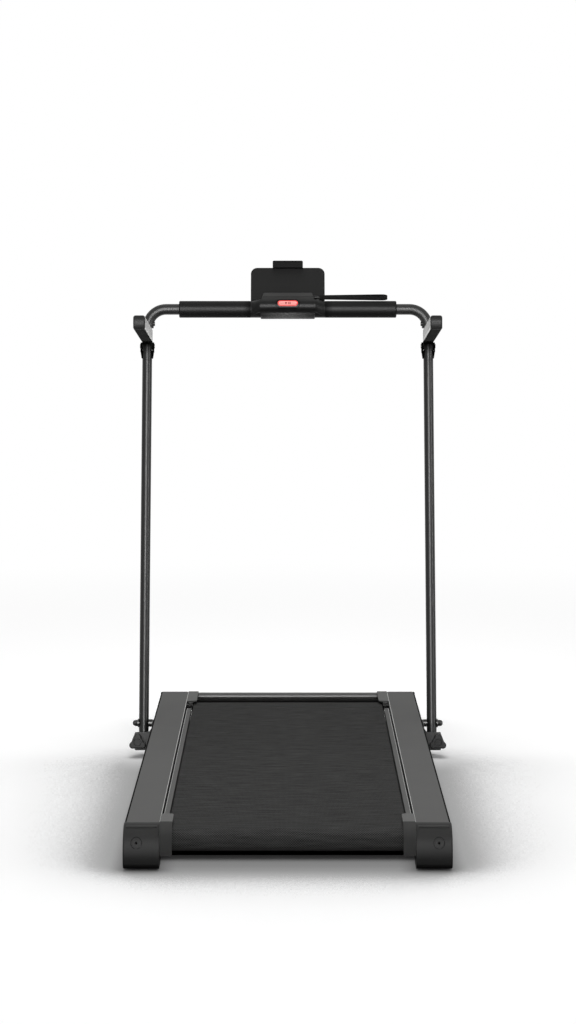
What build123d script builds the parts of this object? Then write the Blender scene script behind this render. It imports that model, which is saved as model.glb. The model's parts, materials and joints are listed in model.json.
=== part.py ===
from build123d import *
import os
from math import cos, radians, sin

# Folding walking treadmill, millimetres, +Z up. The user faces +Y, and the floor is Z = 0.

# Deck
deck_width = 566
deck_length = 1270
deck_top = 76
rail_half_length = 590
rail_bottom = 8
rail_inner_x = 221
rail_wall = 2.5
rail_web_z = 28
groove_width = 4
groove_depth = 5
lip_inner_x = 208
lip_bottom = 67
ledge_inner_x = 180
ledge_top = 48
ledge_thickness = 4
ledge_rear_y = -560
ledge_front_y = 450
lip_gap_rear_y = 413
lip_gap_front_y = 475
cap_wall = 3
cap_bottom = 3
cap_proud = 0.5
cap_nose_reach = 44
cap_nose_drop = 55
cap_toe_radius = 10
cap_tongue_length = 16

# Running surface
belt_half_width = 206
belt_thickness = 1.8
belt_slack = 0.3
board_half_width = 204
board_thickness = 12
board_top = 67
board_rear_y = -568
board_front_y = 466
roller_y = -599
roller_z = 48.5
roller_radius = 18.7
roller_axle_radius = 6
drum_y = 503
drum_radius = 23
drum_axle_radius = 7
drum_z = roller_z + roller_radius - drum_radius
running_gap = 0.05

# Handrail frame, measured along the uprights from their lower pivot
lean = 8
pivot_y = 300
pivot_z = 66
upright_foot_x = 303.6
upright_head_x = 297.5
upright_radius = 10.3
upright_wall = 1.6
upright_foot = -48
upright_top = 788
pivot_bolt_radius = 4
hinge_s = 797
hinge_depth = 3
hinge_radius = 8
hinge_bolt_radius = 3
arm_x = 299.3
arm_width = 24
arm_height = 29
arm_low = 806
arm_far = 12
arm_near = -250
arm_wall = 2.5
bar_x = 296.5
bar_s = 875
bar_radius = 11.3
bar_leg_s = arm_low + arm_height + 1
bar_bend_radius = bar_s - bar_leg_s - 0.5
grip_radius = 17.7
grip_outer_x = 230
grip_inner_x = 79
knob_x = 314.7
knob_s = -38.5

# Console
console_half_width = 57.5
plate_tilt = 15
plate_half_width = 78.7
plate_thickness = 9
clip_half_width = 32.2

half_width = deck_width / 2
nose_y = deck_length / 2
lean_sin = sin(radians(lean))
lean_cos = cos(radians(lean))
pivot = Vector(0, pivot_y, pivot_z)
along = Vector(0, lean_sin, lean_cos)
forward = Vector(0, lean_cos, -lean_sin)
to_user = Vector(0, -lean_cos, lean_sin)

os.makedirs("parts", exist_ok=True)


def across(x):
    """Plane at a given X whose local axes are depth (forward) and height along the uprights."""
    return Plane(origin=pivot + Vector(x, 0, 0), x_dir=forward, z_dir=(1, 0, 0))


def facing_user(depth):
    """Plane at a given depth whose local axes are X and height along the uprights."""
    return Plane(origin=pivot + forward * depth, x_dir=(1, 0, 0), z_dir=to_user)


def level(s):
    """Plane square to the uprights at a given height along them."""
    return Plane(origin=pivot + along * s, x_dir=(1, 0, 0), z_dir=along)


def save(piece, label):
    """Label one finished piece and write it."""
    piece.label = label
    export_step(piece, f"parts/{label}.step")


def save_pair(piece, label):
    """Write a right-hand piece and its mirrored left-hand twin."""
    save(piece, f"{label}_right")
    save(mirror(piece, about=Plane.YZ), f"{label}_left")


def save_both(piece, label):
    """Write a right-hand piece and its mirrored twin as one group of separate solids."""
    save(piece + mirror(piece, about=Plane.YZ), label)


# Side rails: hollow aluminium extrusions with a trim groove, a belt-side lip and a board ledge
with BuildPart() as side_rail:
    with BuildSketch(Plane.XZ) as rail_profile:
        with BuildLine():
            Polyline(
                (half_width, rail_bottom),
                (half_width, deck_top),
                (rail_inner_x, deck_top),
                (rail_inner_x, deck_top - groove_depth),
                (rail_inner_x - groove_width, deck_top - groove_depth),
                (rail_inner_x - groove_width, deck_top - 1),
                (lip_inner_x, deck_top - 1),
                (lip_inner_x, lip_bottom),
                (rail_inner_x, lip_bottom),
                (rail_inner_x, rail_bottom),
                close=True,
            )
        make_face()
        fillet(rail_profile.vertices().sort_by(Axis.X)[-2:], radius=4)
        cell_width = half_width - rail_inner_x - 2 * rail_wall
        cell_x = (half_width + rail_inner_x) / 2
        upper_cell = deck_top - rail_web_z - 1.5 * rail_wall
        lower_cell = rail_web_z - rail_bottom - 1.5 * rail_wall
        with Locations((cell_x, rail_web_z + rail_wall / 2 + upper_cell / 2)):
            RectangleRounded(cell_width, upper_cell, 0.8, mode=Mode.SUBTRACT)
        with Locations((cell_x, rail_web_z - rail_wall / 2 - lower_cell / 2)):
            RectangleRounded(cell_width, lower_cell, 0.8, mode=Mode.SUBTRACT)
    extrude(amount=rail_half_length, both=True)
    with BuildSketch(Plane.XZ.offset(-ledge_front_y)):
        with Locations((rail_inner_x, ledge_top)):
            Rectangle(rail_inner_x - ledge_inner_x, ledge_thickness, align=(Align.MAX, Align.MAX))
    extrude(amount=ledge_front_y - ledge_rear_y)
    with BuildSketch(Plane.YZ.offset(half_width - 2 * rail_wall)):
        with Locations((pivot_y, pivot_z)):
            Circle(pivot_bolt_radius)
    extrude(amount=3 * rail_wall, mode=Mode.SUBTRACT)
    with Locations((rail_inner_x, lip_gap_rear_y, lip_bottom)):
        Box(
            2 * (rail_inner_x - lip_inner_x),
            lip_gap_front_y - lip_gap_rear_y,
            2 * (deck_top - lip_bottom),
            align=(Align.MAX, Align.MIN, Align.CENTER),
            mode=Mode.SUBTRACT,
        )
save_pair(side_rail.part, "side_rail")

# Rear end caps: rounded noses that plug into the rails and carry the belt adjusters
adjuster_x = 260
adjuster_plug_radius = 9
adjuster_boss_y = -606
adjuster_seat_y = -613
adjuster_plug_y = -621
adjuster_head_radius = 6.5
adjuster_bolt_radius = 4


def nose_profile(x, back_y, inset):
    """Outline of an end cap at a given X, in depth and height, drawn for the rear end."""
    top = deck_top - inset
    front = -nose_y + inset
    bottom = cap_bottom + inset
    reach = cap_nose_reach - inset
    drop = cap_nose_drop - inset
    toe = cap_toe_radius - inset
    with BuildSketch(Plane.YZ.offset(x)) as profile:
        with BuildLine():
            Line((back_y, top), (front + reach, top))
            EllipticalCenterArc((front + reach, top - drop), reach, drop, start_angle=90, arc_size=90)
            face_run = Line((front, top - drop), (front, bottom + toe))
            toe_arc = TangentArc(face_run @ 1, (front + toe, bottom), tangent=(0, -1))
            Polyline(toe_arc @ 1, (back_y, bottom), (back_y, top))
        make_face()
    return profile.sketch


cap_width = half_width + cap_proud - rail_inner_x
cap_outside = nose_profile(rail_inner_x, -rail_half_length, 0)
cap_inside = nose_profile(rail_inner_x + cap_wall, -rail_half_length + 1, cap_wall)
tongue_width = half_width - rail_inner_x - 2 * rail_wall - 4
with BuildPart() as bare_cap:
    extrude(cap_outside, amount=cap_width, dir=(1, 0, 0))
    outer_side = bare_cap.faces().sort_by(Axis.X)[-1]
    fillet(outer_side.edges().filter_by(lambda e: e.center().Y < -rail_half_length - 1), radius=2.5)
    extrude(cap_inside, amount=cap_width - 2 * cap_wall, dir=(1, 0, 0), mode=Mode.SUBTRACT)
    with Locations(((half_width + rail_inner_x) / 2, -rail_half_length - 4, deck_top - rail_wall - 0.2)):
        Box(tongue_width, 2 * cap_tongue_length, 4, align=(Align.CENTER, Align.CENTER, Align.MAX))



def nose_plug(radius, back_y):
    """A round plug through the nose of a rear cap, its outer end following the curved face."""
    with BuildPart() as plug:
        with BuildSketch(Plane.XZ.offset(-back_y)):
            with Locations((adjuster_x, roller_z)):
                Circle(radius)
        extrude(amount=nose_y + back_y)
        extrude(cap_outside, amount=cap_width, dir=(1, 0, 0), mode=Mode.INTERSECT)
    return plug.part


adjuster_boss = nose_plug(adjuster_plug_radius + 2, adjuster_boss_y)
with BuildPart() as rear_end_cap:
    add(bare_cap.part)
    add(adjuster_boss)
    with BuildSketch(Plane.XZ.offset(nose_y)):
        with Locations((adjuster_x, roller_z)):
            Circle(adjuster_plug_radius)
    extrude(amount=-(nose_y + adjuster_plug_y), mode=Mode.SUBTRACT)
    with BuildSketch(Plane.XZ.offset(nose_y)):
        with Locations((adjuster_x, roller_z)):
            Circle(adjuster_head_radius + 0.5)
    extrude(amount=-(nose_y + adjuster_seat_y), mode=Mode.SUBTRACT)
    with BuildSketch(Plane.XZ.offset(nose_y)):
        with Locations((adjuster_x, roller_z)):
            Circle(adjuster_bolt_radius + 0.2)
    extrude(amount=-(nose_y + adjuster_boss_y + 1), mode=Mode.SUBTRACT)
    with Locations((rail_inner_x, -rail_half_length, roller_z)):
        Box(
            2 * cap_wall + 1,
            2 * (-roller_y - rail_half_length + roller_axle_radius + 1),
            2 * roller_axle_radius + 1,
            mode=Mode.SUBTRACT,
        )
save_pair(rear_end_cap.part, "rear_end_cap")

# Round plugs over the belt adjusters, flush with the curved face and with a small key hole
with BuildPart() as adjuster_plug:
    add(nose_plug(adjuster_plug_radius - 0.2, adjuster_plug_y))
    with BuildSketch(Plane.XZ.offset(nose_y)):
        with Locations((adjuster_x, roller_z)):
            Circle(1.3)
    extrude(amount=-(nose_y + adjuster_plug_y), mode=Mode.SUBTRACT)
save_both(adjuster_plug.part, "adjuster_plugs")

# Belt adjuster bolts, one in each rear cap
with BuildPart() as adjuster_bolts:
    for side in (-1, 1):
        with BuildSketch(Plane.XZ.offset(-adjuster_seat_y)):
            with Locations((side * adjuster_x, roller_z)):
                Circle(adjuster_head_radius)
                RegularPolygon(3.4, 6, mode=Mode.SUBTRACT)
        extrude(amount=7)
        with BuildSketch(Plane.XZ.offset(-adjuster_seat_y)):
            with Locations((side * adjuster_x, roller_z)):
                Circle(adjuster_bolt_radius)
        extrude(amount=-44)
save(adjuster_bolts.part, "adjuster_bolts")

# Front end caps: the same nose with a pocket for a transport wheel
wheel_x = 255
wheel_y = 611.5
wheel_z = 20
wheel_radius = 18.5
wheel_half_width = 7
wheel_axle_radius = 3
wheel_rib = 4
front_bar_radius = 9
front_bar_y = 601
front_bar_z = 64

front_bare_cap = mirror(bare_cap.part, about=Plane.XZ)
with BuildPart() as front_end_cap:
    add(front_bare_cap)
    for rib_x in (wheel_x - wheel_half_width - 2 - wheel_rib, wheel_x + wheel_half_width + 2):
        with BuildSketch(Plane.YZ.offset(rib_x)):
            with Locations((wheel_y, cap_bottom + 1)):
                Rectangle(28, 34, align=(Align.CENTER, Align.MIN))
        extrude(amount=wheel_rib)
    with Locations((wheel_x, wheel_y + 4, cap_bottom)):
        Box(2 * wheel_half_width + 4, 2 * wheel_radius + 4, 20, mode=Mode.SUBTRACT)
    with BuildSketch(Plane.YZ.offset(wheel_x - 20)):
        with Locations((wheel_y, wheel_z)):
            Circle(wheel_axle_radius)
    extrude(amount=40, mode=Mode.SUBTRACT)
    with BuildSketch(Plane.YZ.offset(rail_inner_x - 1)):
        with Locations((front_bar_y, front_bar_z)):
            Circle(front_bar_radius)
    extrude(amount=cap_wall, mode=Mode.SUBTRACT)
save_pair(front_end_cap.part, "front_end_cap")

# Transport wheels with a treaded rim and a dished hub
with BuildPart() as transport_wheel:
    with BuildSketch(Plane.XY.offset(wheel_z)):
        with BuildLine():
            Polyline(
                (wheel_x - wheel_half_width, wheel_y + wheel_axle_radius + running_gap),
                (wheel_x - wheel_half_width, wheel_y + 7),
                (wheel_x - 3, wheel_y + 9),
                (wheel_x - 3, wheel_y + 14),
                (wheel_x - wheel_half_width + 1, wheel_y + 15),
                (wheel_x - wheel_half_width + 1, wheel_y + wheel_radius - 1.5),
                (wheel_x - wheel_half_width + 2.5, wheel_y + wheel_radius),
                (wheel_x + wheel_half_width - 2.5, wheel_y + wheel_radius),
                (wheel_x + wheel_half_width - 1, wheel_y + wheel_radius - 1.5),
                (wheel_x + wheel_half_width - 1, wheel_y + 15),
                (wheel_x + 3, wheel_y + 14),
                (wheel_x + 3, wheel_y + 9),
                (wheel_x + wheel_half_width, wheel_y + 7),
                (wheel_x + wheel_half_width, wheel_y + wheel_axle_radius + running_gap),
                close=True,
            )
        make_face()
    revolve(axis=Axis((0, wheel_y, wheel_z), (1, 0, 0)))
save_pair(transport_wheel.part, "transport_wheel")

with BuildPart() as wheel_axles:
    for side in (-1, 1):
        with Locations((side * wheel_x, wheel_y, wheel_z)):
            Cylinder(wheel_axle_radius, 30, rotation=(0, 90, 0))
save(wheel_axles.part, "wheel_axles")

# Belt guards over the belt edges at both ends
guard_top = 78
guard_bottom = deck_top - 1
guard_inner_x = 199
guard_outer_x = 220.4
guard_wall = guard_top - guard_bottom
rear_guard_front_y = -548
rear_guard_nose_y = -627
rear_guard_low = 26
rear_guard_bend = 29
front_guard_rear_y = 480

with BuildPart() as rear_belt_guard:
    with BuildSketch(Plane.YZ.offset(guard_inner_x)):
        with BuildLine():
            bend_start_y = rear_guard_nose_y + rear_guard_bend
            top_run = Line((rear_guard_front_y, guard_top), (bend_start_y, guard_top))
            nose = TangentArc(
                top_run @ 1, (rear_guard_nose_y, guard_top - rear_guard_bend), tangent=(-1, 0)
            )
            Line(nose @ 1, (rear_guard_nose_y, rear_guard_low))
            offset(amount=-guard_wall, side=Side.RIGHT)
        make_face()
    extrude(amount=guard_outer_x - guard_inner_x)
    corners = rear_belt_guard.edges().filter_by(Axis.Z).group_by(Axis.Y)[-1]
    fillet(corners, radius=7.5)
save_both(rear_belt_guard.part, "rear_belt_guards")

with BuildPart() as front_belt_guard:
    with BuildSketch(Plane.XY.offset(guard_bottom)):
        with Locations((guard_outer_x, front_guard_rear_y)):
            Rectangle(
                guard_outer_x - guard_inner_x,
                rail_half_length - front_guard_rear_y,
                align=(Align.MAX, Align.MIN),
            )
    extrude(amount=guard_wall)
    corner = front_belt_guard.edges().filter_by(Axis.Z).group_by(Axis.Y)[0].sort_by(Axis.X)[0]
    fillet(corner, radius=9)
    with Locations((lip_inner_x - 0.5, rail_half_length, guard_bottom)):
        Box(8, 3, 18, align=(Align.MAX, Align.MAX, Align.MAX))
save_both(front_belt_guard.part, "front_belt_guards")

# Front cross bar between the two front caps
with BuildPart() as front_bar:
    bar_half = rail_inner_x + cap_wall - 1
    with BuildSketch(Plane.YZ.offset(-bar_half)):
        with Locations((front_bar_y, front_bar_z)):
            Circle(front_bar_radius)
            Circle(front_bar_radius - 1.5, mode=Mode.SUBTRACT)
    extrude(amount=2 * bar_half)
save(front_bar.part, "front_bar")

# Running board with eased ends so the belt slides on and off it
with BuildPart() as running_board:
    with BuildSketch(Plane.YZ.offset(-board_half_width)) as board_profile:
        with Locations((board_rear_y, board_top - board_thickness)):
            Rectangle(board_front_y - board_rear_y, board_thickness, align=(Align.MIN, Align.MIN))
        fillet(board_profile.vertices().group_by(Axis.Y)[-1], radius=6)
    extrude(amount=2 * board_half_width)
save(running_board.part, "running_board")

# Rubber cushions between the board and the rail ledges
with BuildPart() as deck_cushions:
    cushion_height = board_top - board_thickness - ledge_top
    with Locations(*[(side * 192, -500 + 225 * i, ledge_top) for side in (-1, 1) for i in range(5)]):
        Box(20, 44, cushion_height, align=(Align.CENTER, Align.CENTER, Align.MIN))
    fillet(deck_cushions.edges().filter_by(Axis.Z), radius=6)
save(deck_cushions.part, "deck_cushions")

# Steel cross members between the rails, inside the belt loop
cross_member_height = 9
with BuildPart() as cross_members:
    for member_y in (-440, -150, 140, 405):
        with BuildSketch(Plane.YZ.offset(-rail_inner_x)):
            with Locations((member_y, ledge_top - ledge_thickness - 0.5)):
                Rectangle(34, cross_member_height, align=(Align.CENTER, Align.MAX))
                with Locations((0, -1.5)):
                    Rectangle(
                        31,
                        cross_member_height - 3,
                        align=(Align.CENTER, Align.MAX),
                        mode=Mode.SUBTRACT,
                    )
        extrude(amount=2 * rail_inner_x)
save(cross_members.part, "cross_members")

# Running belt, one closed loop round the rear roller and the front drum


def belt_loop(growth):
    """Outline of the belt loop, its inside face grown by a given distance."""
    with BuildSketch(Plane.YZ.offset(-belt_half_width)) as loop:
        with Locations((roller_y, roller_z)):
            Circle(roller_radius + belt_slack + growth)
        with Locations((drum_y, drum_z)):
            Circle(drum_radius + belt_slack + growth)
        make_hull()
    return loop.sketch


belt_outside = belt_loop(belt_thickness)
belt_inside = belt_loop(0)
with BuildPart() as running_belt:
    extrude(belt_outside, amount=2 * belt_half_width, dir=(1, 0, 0))
    extrude(belt_inside, amount=2 * belt_half_width, dir=(1, 0, 0), mode=Mode.SUBTRACT)
save(running_belt.part, "running_belt")

# Rear roller: crowned steel tube with end plugs that seat the bearings
bearing_width = 8
roller_bearing_radius = 12
drum_bearing_radius = 14
flange_depth = 14


def hollow_roller(axis_y, axis_z, radius, wall, bearing_radius, end_radius):
    """Tube with two end plugs, turned about X, with a bearing seat in each plug."""
    with BuildPart() as roller:
        with BuildSketch(Plane.YZ.offset(-belt_half_width)):
            with Locations((axis_y, axis_z)):
                Circle(radius)
                Circle(radius - wall, mode=Mode.SUBTRACT)
        extrude(amount=2 * belt_half_width)
        for start in (-belt_half_width, belt_half_width - flange_depth):
            with BuildSketch(Plane.YZ.offset(start)):
                with Locations((axis_y, axis_z)):
                    Circle(radius - wall)
                    Circle(end_radius, mode=Mode.SUBTRACT)
            extrude(amount=flange_depth)
        for start in (-belt_half_width, belt_half_width - bearing_width):
            with BuildSketch(Plane.YZ.offset(start)):
                with Locations((axis_y, axis_z)):
                    Circle(bearing_radius + running_gap)
            extrude(amount=bearing_width, mode=Mode.SUBTRACT)
    return roller.part


def bearing_pair(axis_y, axis_z, outer, inner):
    """Two ball bearings at the ends of a roller, each a turned ring with shield grooves."""
    with BuildPart() as bearings:
        for start in (-belt_half_width, belt_half_width - bearing_width):
            with BuildSketch(Plane.YZ.offset(start)):
                with Locations((axis_y, axis_z)):
                    Circle(outer)
                    Circle(inner, mode=Mode.SUBTRACT)
            extrude(amount=bearing_width)
            for face_x, depth in ((start, 1), (start + bearing_width, -1)):
                with BuildSketch(Plane.YZ.offset(face_x)):
                    with Locations((axis_y, axis_z)):
                        Circle(outer - 1.8)
                        Circle(inner + 1.8, mode=Mode.SUBTRACT)
                extrude(amount=depth, mode=Mode.SUBTRACT)
    return bearings.part


save(hollow_roller(roller_y, roller_z, roller_radius, 2.5, roller_bearing_radius, 9), "rear_roller")

with BuildPart() as rear_roller_axle:
    axle_half = adjuster_x + 8
    with Locations((0, roller_y, roller_z)):
        Cylinder(roller_axle_radius, 2 * axle_half, rotation=(0, 90, 0))
    with Locations((-adjuster_x, roller_y, roller_z), (adjuster_x, roller_y, roller_z)):
        Cylinder(adjuster_bolt_radius, 30, rotation=(90, 0, 0), mode=Mode.SUBTRACT)
save(rear_roller_axle.part, "rear_roller_axle")

# Front drum motor: the drum shell turns on a fixed axle that carries the wound stator
save(hollow_roller(drum_y, drum_z, drum_radius, 3.5, drum_bearing_radius, 10), "front_drum")
roller_bearings = bearing_pair(roller_y, roller_z, roller_bearing_radius, roller_axle_radius)
drum_bearings = bearing_pair(drum_y, drum_z, drum_bearing_radius, drum_axle_radius)
save(roller_bearings + drum_bearings, "roller_bearings")

stator_half = 70
stator_radius = 16
with BuildPart() as drum_magnets:
    with BuildSketch(Plane.YZ.offset(-stator_half)):
        with Locations((drum_y, drum_z)):
            Circle(drum_radius - 3.5)
            Circle(stator_radius + 0.8, mode=Mode.SUBTRACT)
    extrude(amount=2 * stator_half)
save(drum_magnets.part, "drum_magnets")

with BuildPart() as drum_stator:
    with BuildSketch(Plane.YZ.offset(-stator_half)):
        with Locations((drum_y, drum_z)):
            Circle(stator_radius)
            Circle(drum_axle_radius, mode=Mode.SUBTRACT)
            with PolarLocations(stator_radius - 3, 9):
                Rectangle(7, 1.6, mode=Mode.SUBTRACT)
    extrude(amount=2 * stator_half)
save(drum_stator.part, "drum_stator")

with BuildPart() as stator_windings:
    for start in (-stator_half - 12, stator_half):
        with BuildSketch(Plane.YZ.offset(start)):
            with Locations((drum_y, drum_z)):
                Circle(stator_radius - 1.5)
                Circle(drum_axle_radius + 1.5, mode=Mode.SUBTRACT)
        extrude(amount=12)
    fillet(stator_windings.edges().filter_by(GeomType.CIRCLE).group_by(SortBy.RADIUS)[-1], radius=3)
save(stator_windings.part, "stator_windings")

with BuildPart() as drum_axle:
    with Locations((0, drum_y, drum_z)):
        Cylinder(drum_axle_radius, 2 * rail_inner_x - 2, rotation=(0, 90, 0))
    for end_x in (-rail_inner_x + 1, rail_inner_x - 1):
        for flat_z in (drum_z - drum_axle_radius + 1.5, drum_z + drum_axle_radius - 1.5):
            with Locations((end_x, drum_y, flat_z)):
                Box(24, 20, 3, mode=Mode.SUBTRACT)
save(drum_axle.part, "drum_axle")

with BuildPart() as drum_axle_blocks:
    for side in (-1, 1):
        with Locations((side * (rail_inner_x - 5), drum_y, drum_z)):
            Box(10, 30, 26)
            Cylinder(drum_axle_radius, 12, rotation=(0, 90, 0), mode=Mode.SUBTRACT)
    fillet(drum_axle_blocks.edges().filter_by(Axis.X).group_by(SortBy.LENGTH)[-1], radius=3)
save(drum_axle_blocks.part, "drum_axle_blocks")

# Floor feet under the four rail ends
with BuildPart() as floor_feet:
    with Locations(*[(sx * 252, sy * 545, 0) for sx in (-1, 1) for sy in (-1, 1)]):
        Box(40, 56, rail_bottom, align=(Align.CENTER, Align.CENTER, Align.MIN))
    fillet(floor_feet.edges().filter_by(Axis.Z), radius=10)
    chamfer(floor_feet.edges().group_by(Axis.Z)[0], length=2)
save(floor_feet.part, "floor_feet")

# Belly pan with folded sides, stiffening beads and cooling slots
pan_half_width = 220.5
pan_rear_y = -560
pan_front_y = 597
pan_z = 9
pan_gauge = 1.5
pan_flange = 10
with BuildPart() as belly_pan:
    pan_length = pan_front_y - pan_rear_y
    with BuildSketch(Plane.XZ.offset(-pan_front_y)):
        with BuildLine():
            Polyline(
                (-pan_half_width, pan_z + pan_flange),
                (-pan_half_width, pan_z),
                (pan_half_width, pan_z),
                (pan_half_width, pan_z + pan_flange),
                (pan_half_width - pan_gauge, pan_z + pan_flange),
                (pan_half_width - pan_gauge, pan_z + pan_gauge),
                (pan_gauge - pan_half_width, pan_z + pan_gauge),
                (pan_gauge - pan_half_width, pan_z + pan_flange),
                close=True,
            )
        make_face()
    extrude(amount=pan_length)
    with Locations(*[(x, (pan_front_y + pan_rear_y) / 2 - 60, pan_z) for x in (-140, 0, 140)]):
        Box(30, pan_length - 240, 1.5, align=(Align.CENTER, Align.CENTER, Align.MAX))
    with BuildSketch(Plane.XY.offset(pan_z)):
        with Locations((0, 565)):
            with GridLocations(14, 1, 9, 1):
                SlotOverall(40, 5, rotation=90)
    extrude(amount=2 * pan_gauge, mode=Mode.SUBTRACT)
save(belly_pan.part, "belly_pan")

# Front cover over the controller, with the power inlet and switch in its front wall
cover_half_width = 219
cover_rear_y = 532
cover_front_y = 601
cover_top = 53
cover_wall = 3
inlet_x = -150
inlet_z = 32
switch_x = -104
with BuildPart() as front_cover:
    with BuildSketch(Plane.YZ.offset(-cover_half_width)):
        with BuildLine():
            Polyline(
                (cover_rear_y, cover_top - cover_wall),
                (cover_rear_y, cover_top),
                (cover_front_y, cover_top),
                (cover_front_y, pan_z + pan_gauge + 1),
                (cover_front_y - cover_wall, pan_z + pan_gauge + 1),
                (cover_front_y - cover_wall, cover_top - cover_wall),
                close=True,
            )
        make_face()
    extrude(amount=2 * cover_half_width)
    with BuildSketch(Plane.XZ.offset(-cover_front_y)):
        with Locations((inlet_x, inlet_z)):
            Rectangle(29, 22)
        with Locations((switch_x, inlet_z)):
            Rectangle(22, 16)
    extrude(amount=cover_wall, mode=Mode.SUBTRACT)
save(front_cover.part, "front_cover")

with BuildPart() as power_inlet:
    with BuildSketch(Plane.XZ.offset(-cover_front_y - 2)):
        with Locations((inlet_x, inlet_z)):
            RectangleRounded(38, 28, 3)
    extrude(amount=2)
    with BuildSketch(Plane.XZ.offset(-cover_front_y)):
        with Locations((inlet_x, inlet_z)):
            Rectangle(28.6, 21.6)
    extrude(amount=20)
    with BuildSketch(Plane.XZ.offset(-cover_front_y - 2)) as socket_mouth:
        with Locations((inlet_x, inlet_z)):
            Rectangle(24.6, 17)
        chamfer(socket_mouth.vertices().group_by(Axis.Z)[-1], length=4)
    extrude(amount=18, mode=Mode.SUBTRACT)
    with BuildSketch(Plane.XZ.offset(-cover_front_y + 16)):
        for pin_x, pin_z in ((-7, -1.5), (0, 2.5), (7, -1.5)):
            with Locations((inlet_x + pin_x, inlet_z + pin_z)):
                Rectangle(2, 4)
    extrude(amount=-12)
save(power_inlet.part, "power_inlet")

with BuildPart() as switch_frame:
    with BuildSketch(Plane.XZ.offset(-cover_front_y - 2)):
        with Locations((switch_x, inlet_z)):
            RectangleRounded(27, 21, 2)
            Rectangle(19, 13, mode=Mode.SUBTRACT)
    extrude(amount=2)
    with BuildSketch(Plane.XZ.offset(-cover_front_y)):
        with Locations((switch_x, inlet_z)):
            Rectangle(21.6, 15.6)
            Rectangle(19, 13, mode=Mode.SUBTRACT)
    extrude(amount=16)
    with BuildSketch(Plane.XZ.offset(-cover_front_y + 14)):
        with Locations((switch_x, inlet_z)):
            Rectangle(20, 14)
    extrude(amount=2)
save(switch_frame.part, "switch_frame")

rocker_tilt = 9
rocker_pivot = Vector(switch_x, cover_front_y - 6, inlet_z)
with BuildPart() as power_rocker:
    rocker_turn = radians(rocker_tilt)
    rocker_plane = Plane(
        origin=rocker_pivot + Vector(-8.5, 0, 0),
        x_dir=(0, cos(rocker_turn), sin(rocker_turn)),
        z_dir=(1, 0, 0),
    )
    with BuildSketch(rocker_plane):
        with BuildLine():
            face = ThreePointArc((8.6, -4.9), (6.8, 0), (8.6, 4.9))
            Polyline(face @ 1, (2, 4.9), (-3, 2.5), (-3, -2.5), (2, -4.9), face @ 0)
        make_face()
    extrude(amount=17)
save(power_rocker.part, "power_rocker")

with BuildPart() as controller_box:
    with Locations((0, 565, pan_z + pan_gauge)):
        Box(180, 56, 34, align=(Align.CENTER, Align.CENTER, Align.MIN))
    fillet(controller_box.edges().filter_by(Axis.Z), radius=4)
    with Locations((0, 565, pan_z + pan_gauge + 34)):
        with GridLocations(12, 1, 13, 1):
            Box(3, 50, 6, align=(Align.CENTER, Align.CENTER, Align.MAX), mode=Mode.SUBTRACT)
save(controller_box.part, "controller_box")

# Upright brackets: bent steel plates on the rails with an angled flange for the lock knob
bracket_gauge = 3
bracket_depth = 18
flange_face = -19
flange_low = -56
flange_high = -18
flange_edge = 14
stud_radius = 4
with BuildPart() as upright_bracket:
    with BuildSketch(across(half_width)) as bracket_plate:
        with BuildLine():
            Polyline(
                (flange_face, flange_low),
                (bracket_depth, flange_low),
                (bracket_depth, 5),
                (9, 7),
                (-9, 7),
                (flange_face, -6),
                close=True,
            )
        make_face()
        fillet(bracket_plate.vertices().group_by(Axis.Z)[-1], radius=4)
    extrude(amount=bracket_gauge)
    with BuildSketch(facing_user(flange_face)):
        with BuildLine():
            Polyline(
                (half_width, flange_low),
                (half_width, flange_high + 12),
                (half_width + 10, flange_high),
                (knob_x + 6, flange_high),
                (knob_x + flange_edge, knob_s),
                (knob_x + 6, flange_low),
                close=True,
            )
        make_face()
        with Locations((knob_x, knob_s)):
            Circle(stud_radius + 0.3, mode=Mode.SUBTRACT)
    extrude(amount=-bracket_gauge)
    with BuildSketch(across(half_width - 1)):
        Circle(pivot_bolt_radius)
    extrude(amount=bracket_gauge + 2, mode=Mode.SUBTRACT)
save_pair(upright_bracket.part, "upright_bracket")

# Pivot bolts with spacers, washers and domed nuts
spacer_radius = 8
washer_radius = 9
washer_gauge = 2
side_play = 0.3
nut_height = 5.5
with BuildPart() as pivot_bolts:
    tube_in = upright_foot_x - upright_radius
    tube_out = upright_foot_x + upright_radius
    nut_start = tube_out + side_play + washer_gauge
    with BuildSketch(across(half_width - rail_wall - 6)):
        RegularPolygon(6, 6)
    extrude(amount=6)
    with BuildSketch(across(half_width - rail_wall)):
        Circle(pivot_bolt_radius)
    extrude(amount=tube_out + 6 - half_width + rail_wall)
    with BuildSketch(across(half_width + bracket_gauge)):
        Circle(spacer_radius)
        Circle(pivot_bolt_radius, mode=Mode.SUBTRACT)
    extrude(amount=tube_in - half_width - bracket_gauge - side_play)
    with BuildSketch(across(tube_out + side_play)):
        Circle(washer_radius)
        Circle(pivot_bolt_radius, mode=Mode.SUBTRACT)
    extrude(amount=washer_gauge)
    with BuildSketch(across(nut_start)):
        RegularPolygon(7.4, 6)
        Circle(pivot_bolt_radius, mode=Mode.SUBTRACT)
    extrude(amount=nut_height)
    with BuildSketch(across(tube_out + 6)):
        Circle(6.2)
    extrude(amount=7)
    fillet(pivot_bolts.faces().sort_by(Axis.X)[-1].edges(), radius=5)
save_both(pivot_bolts.part, "pivot_bolts")

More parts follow.
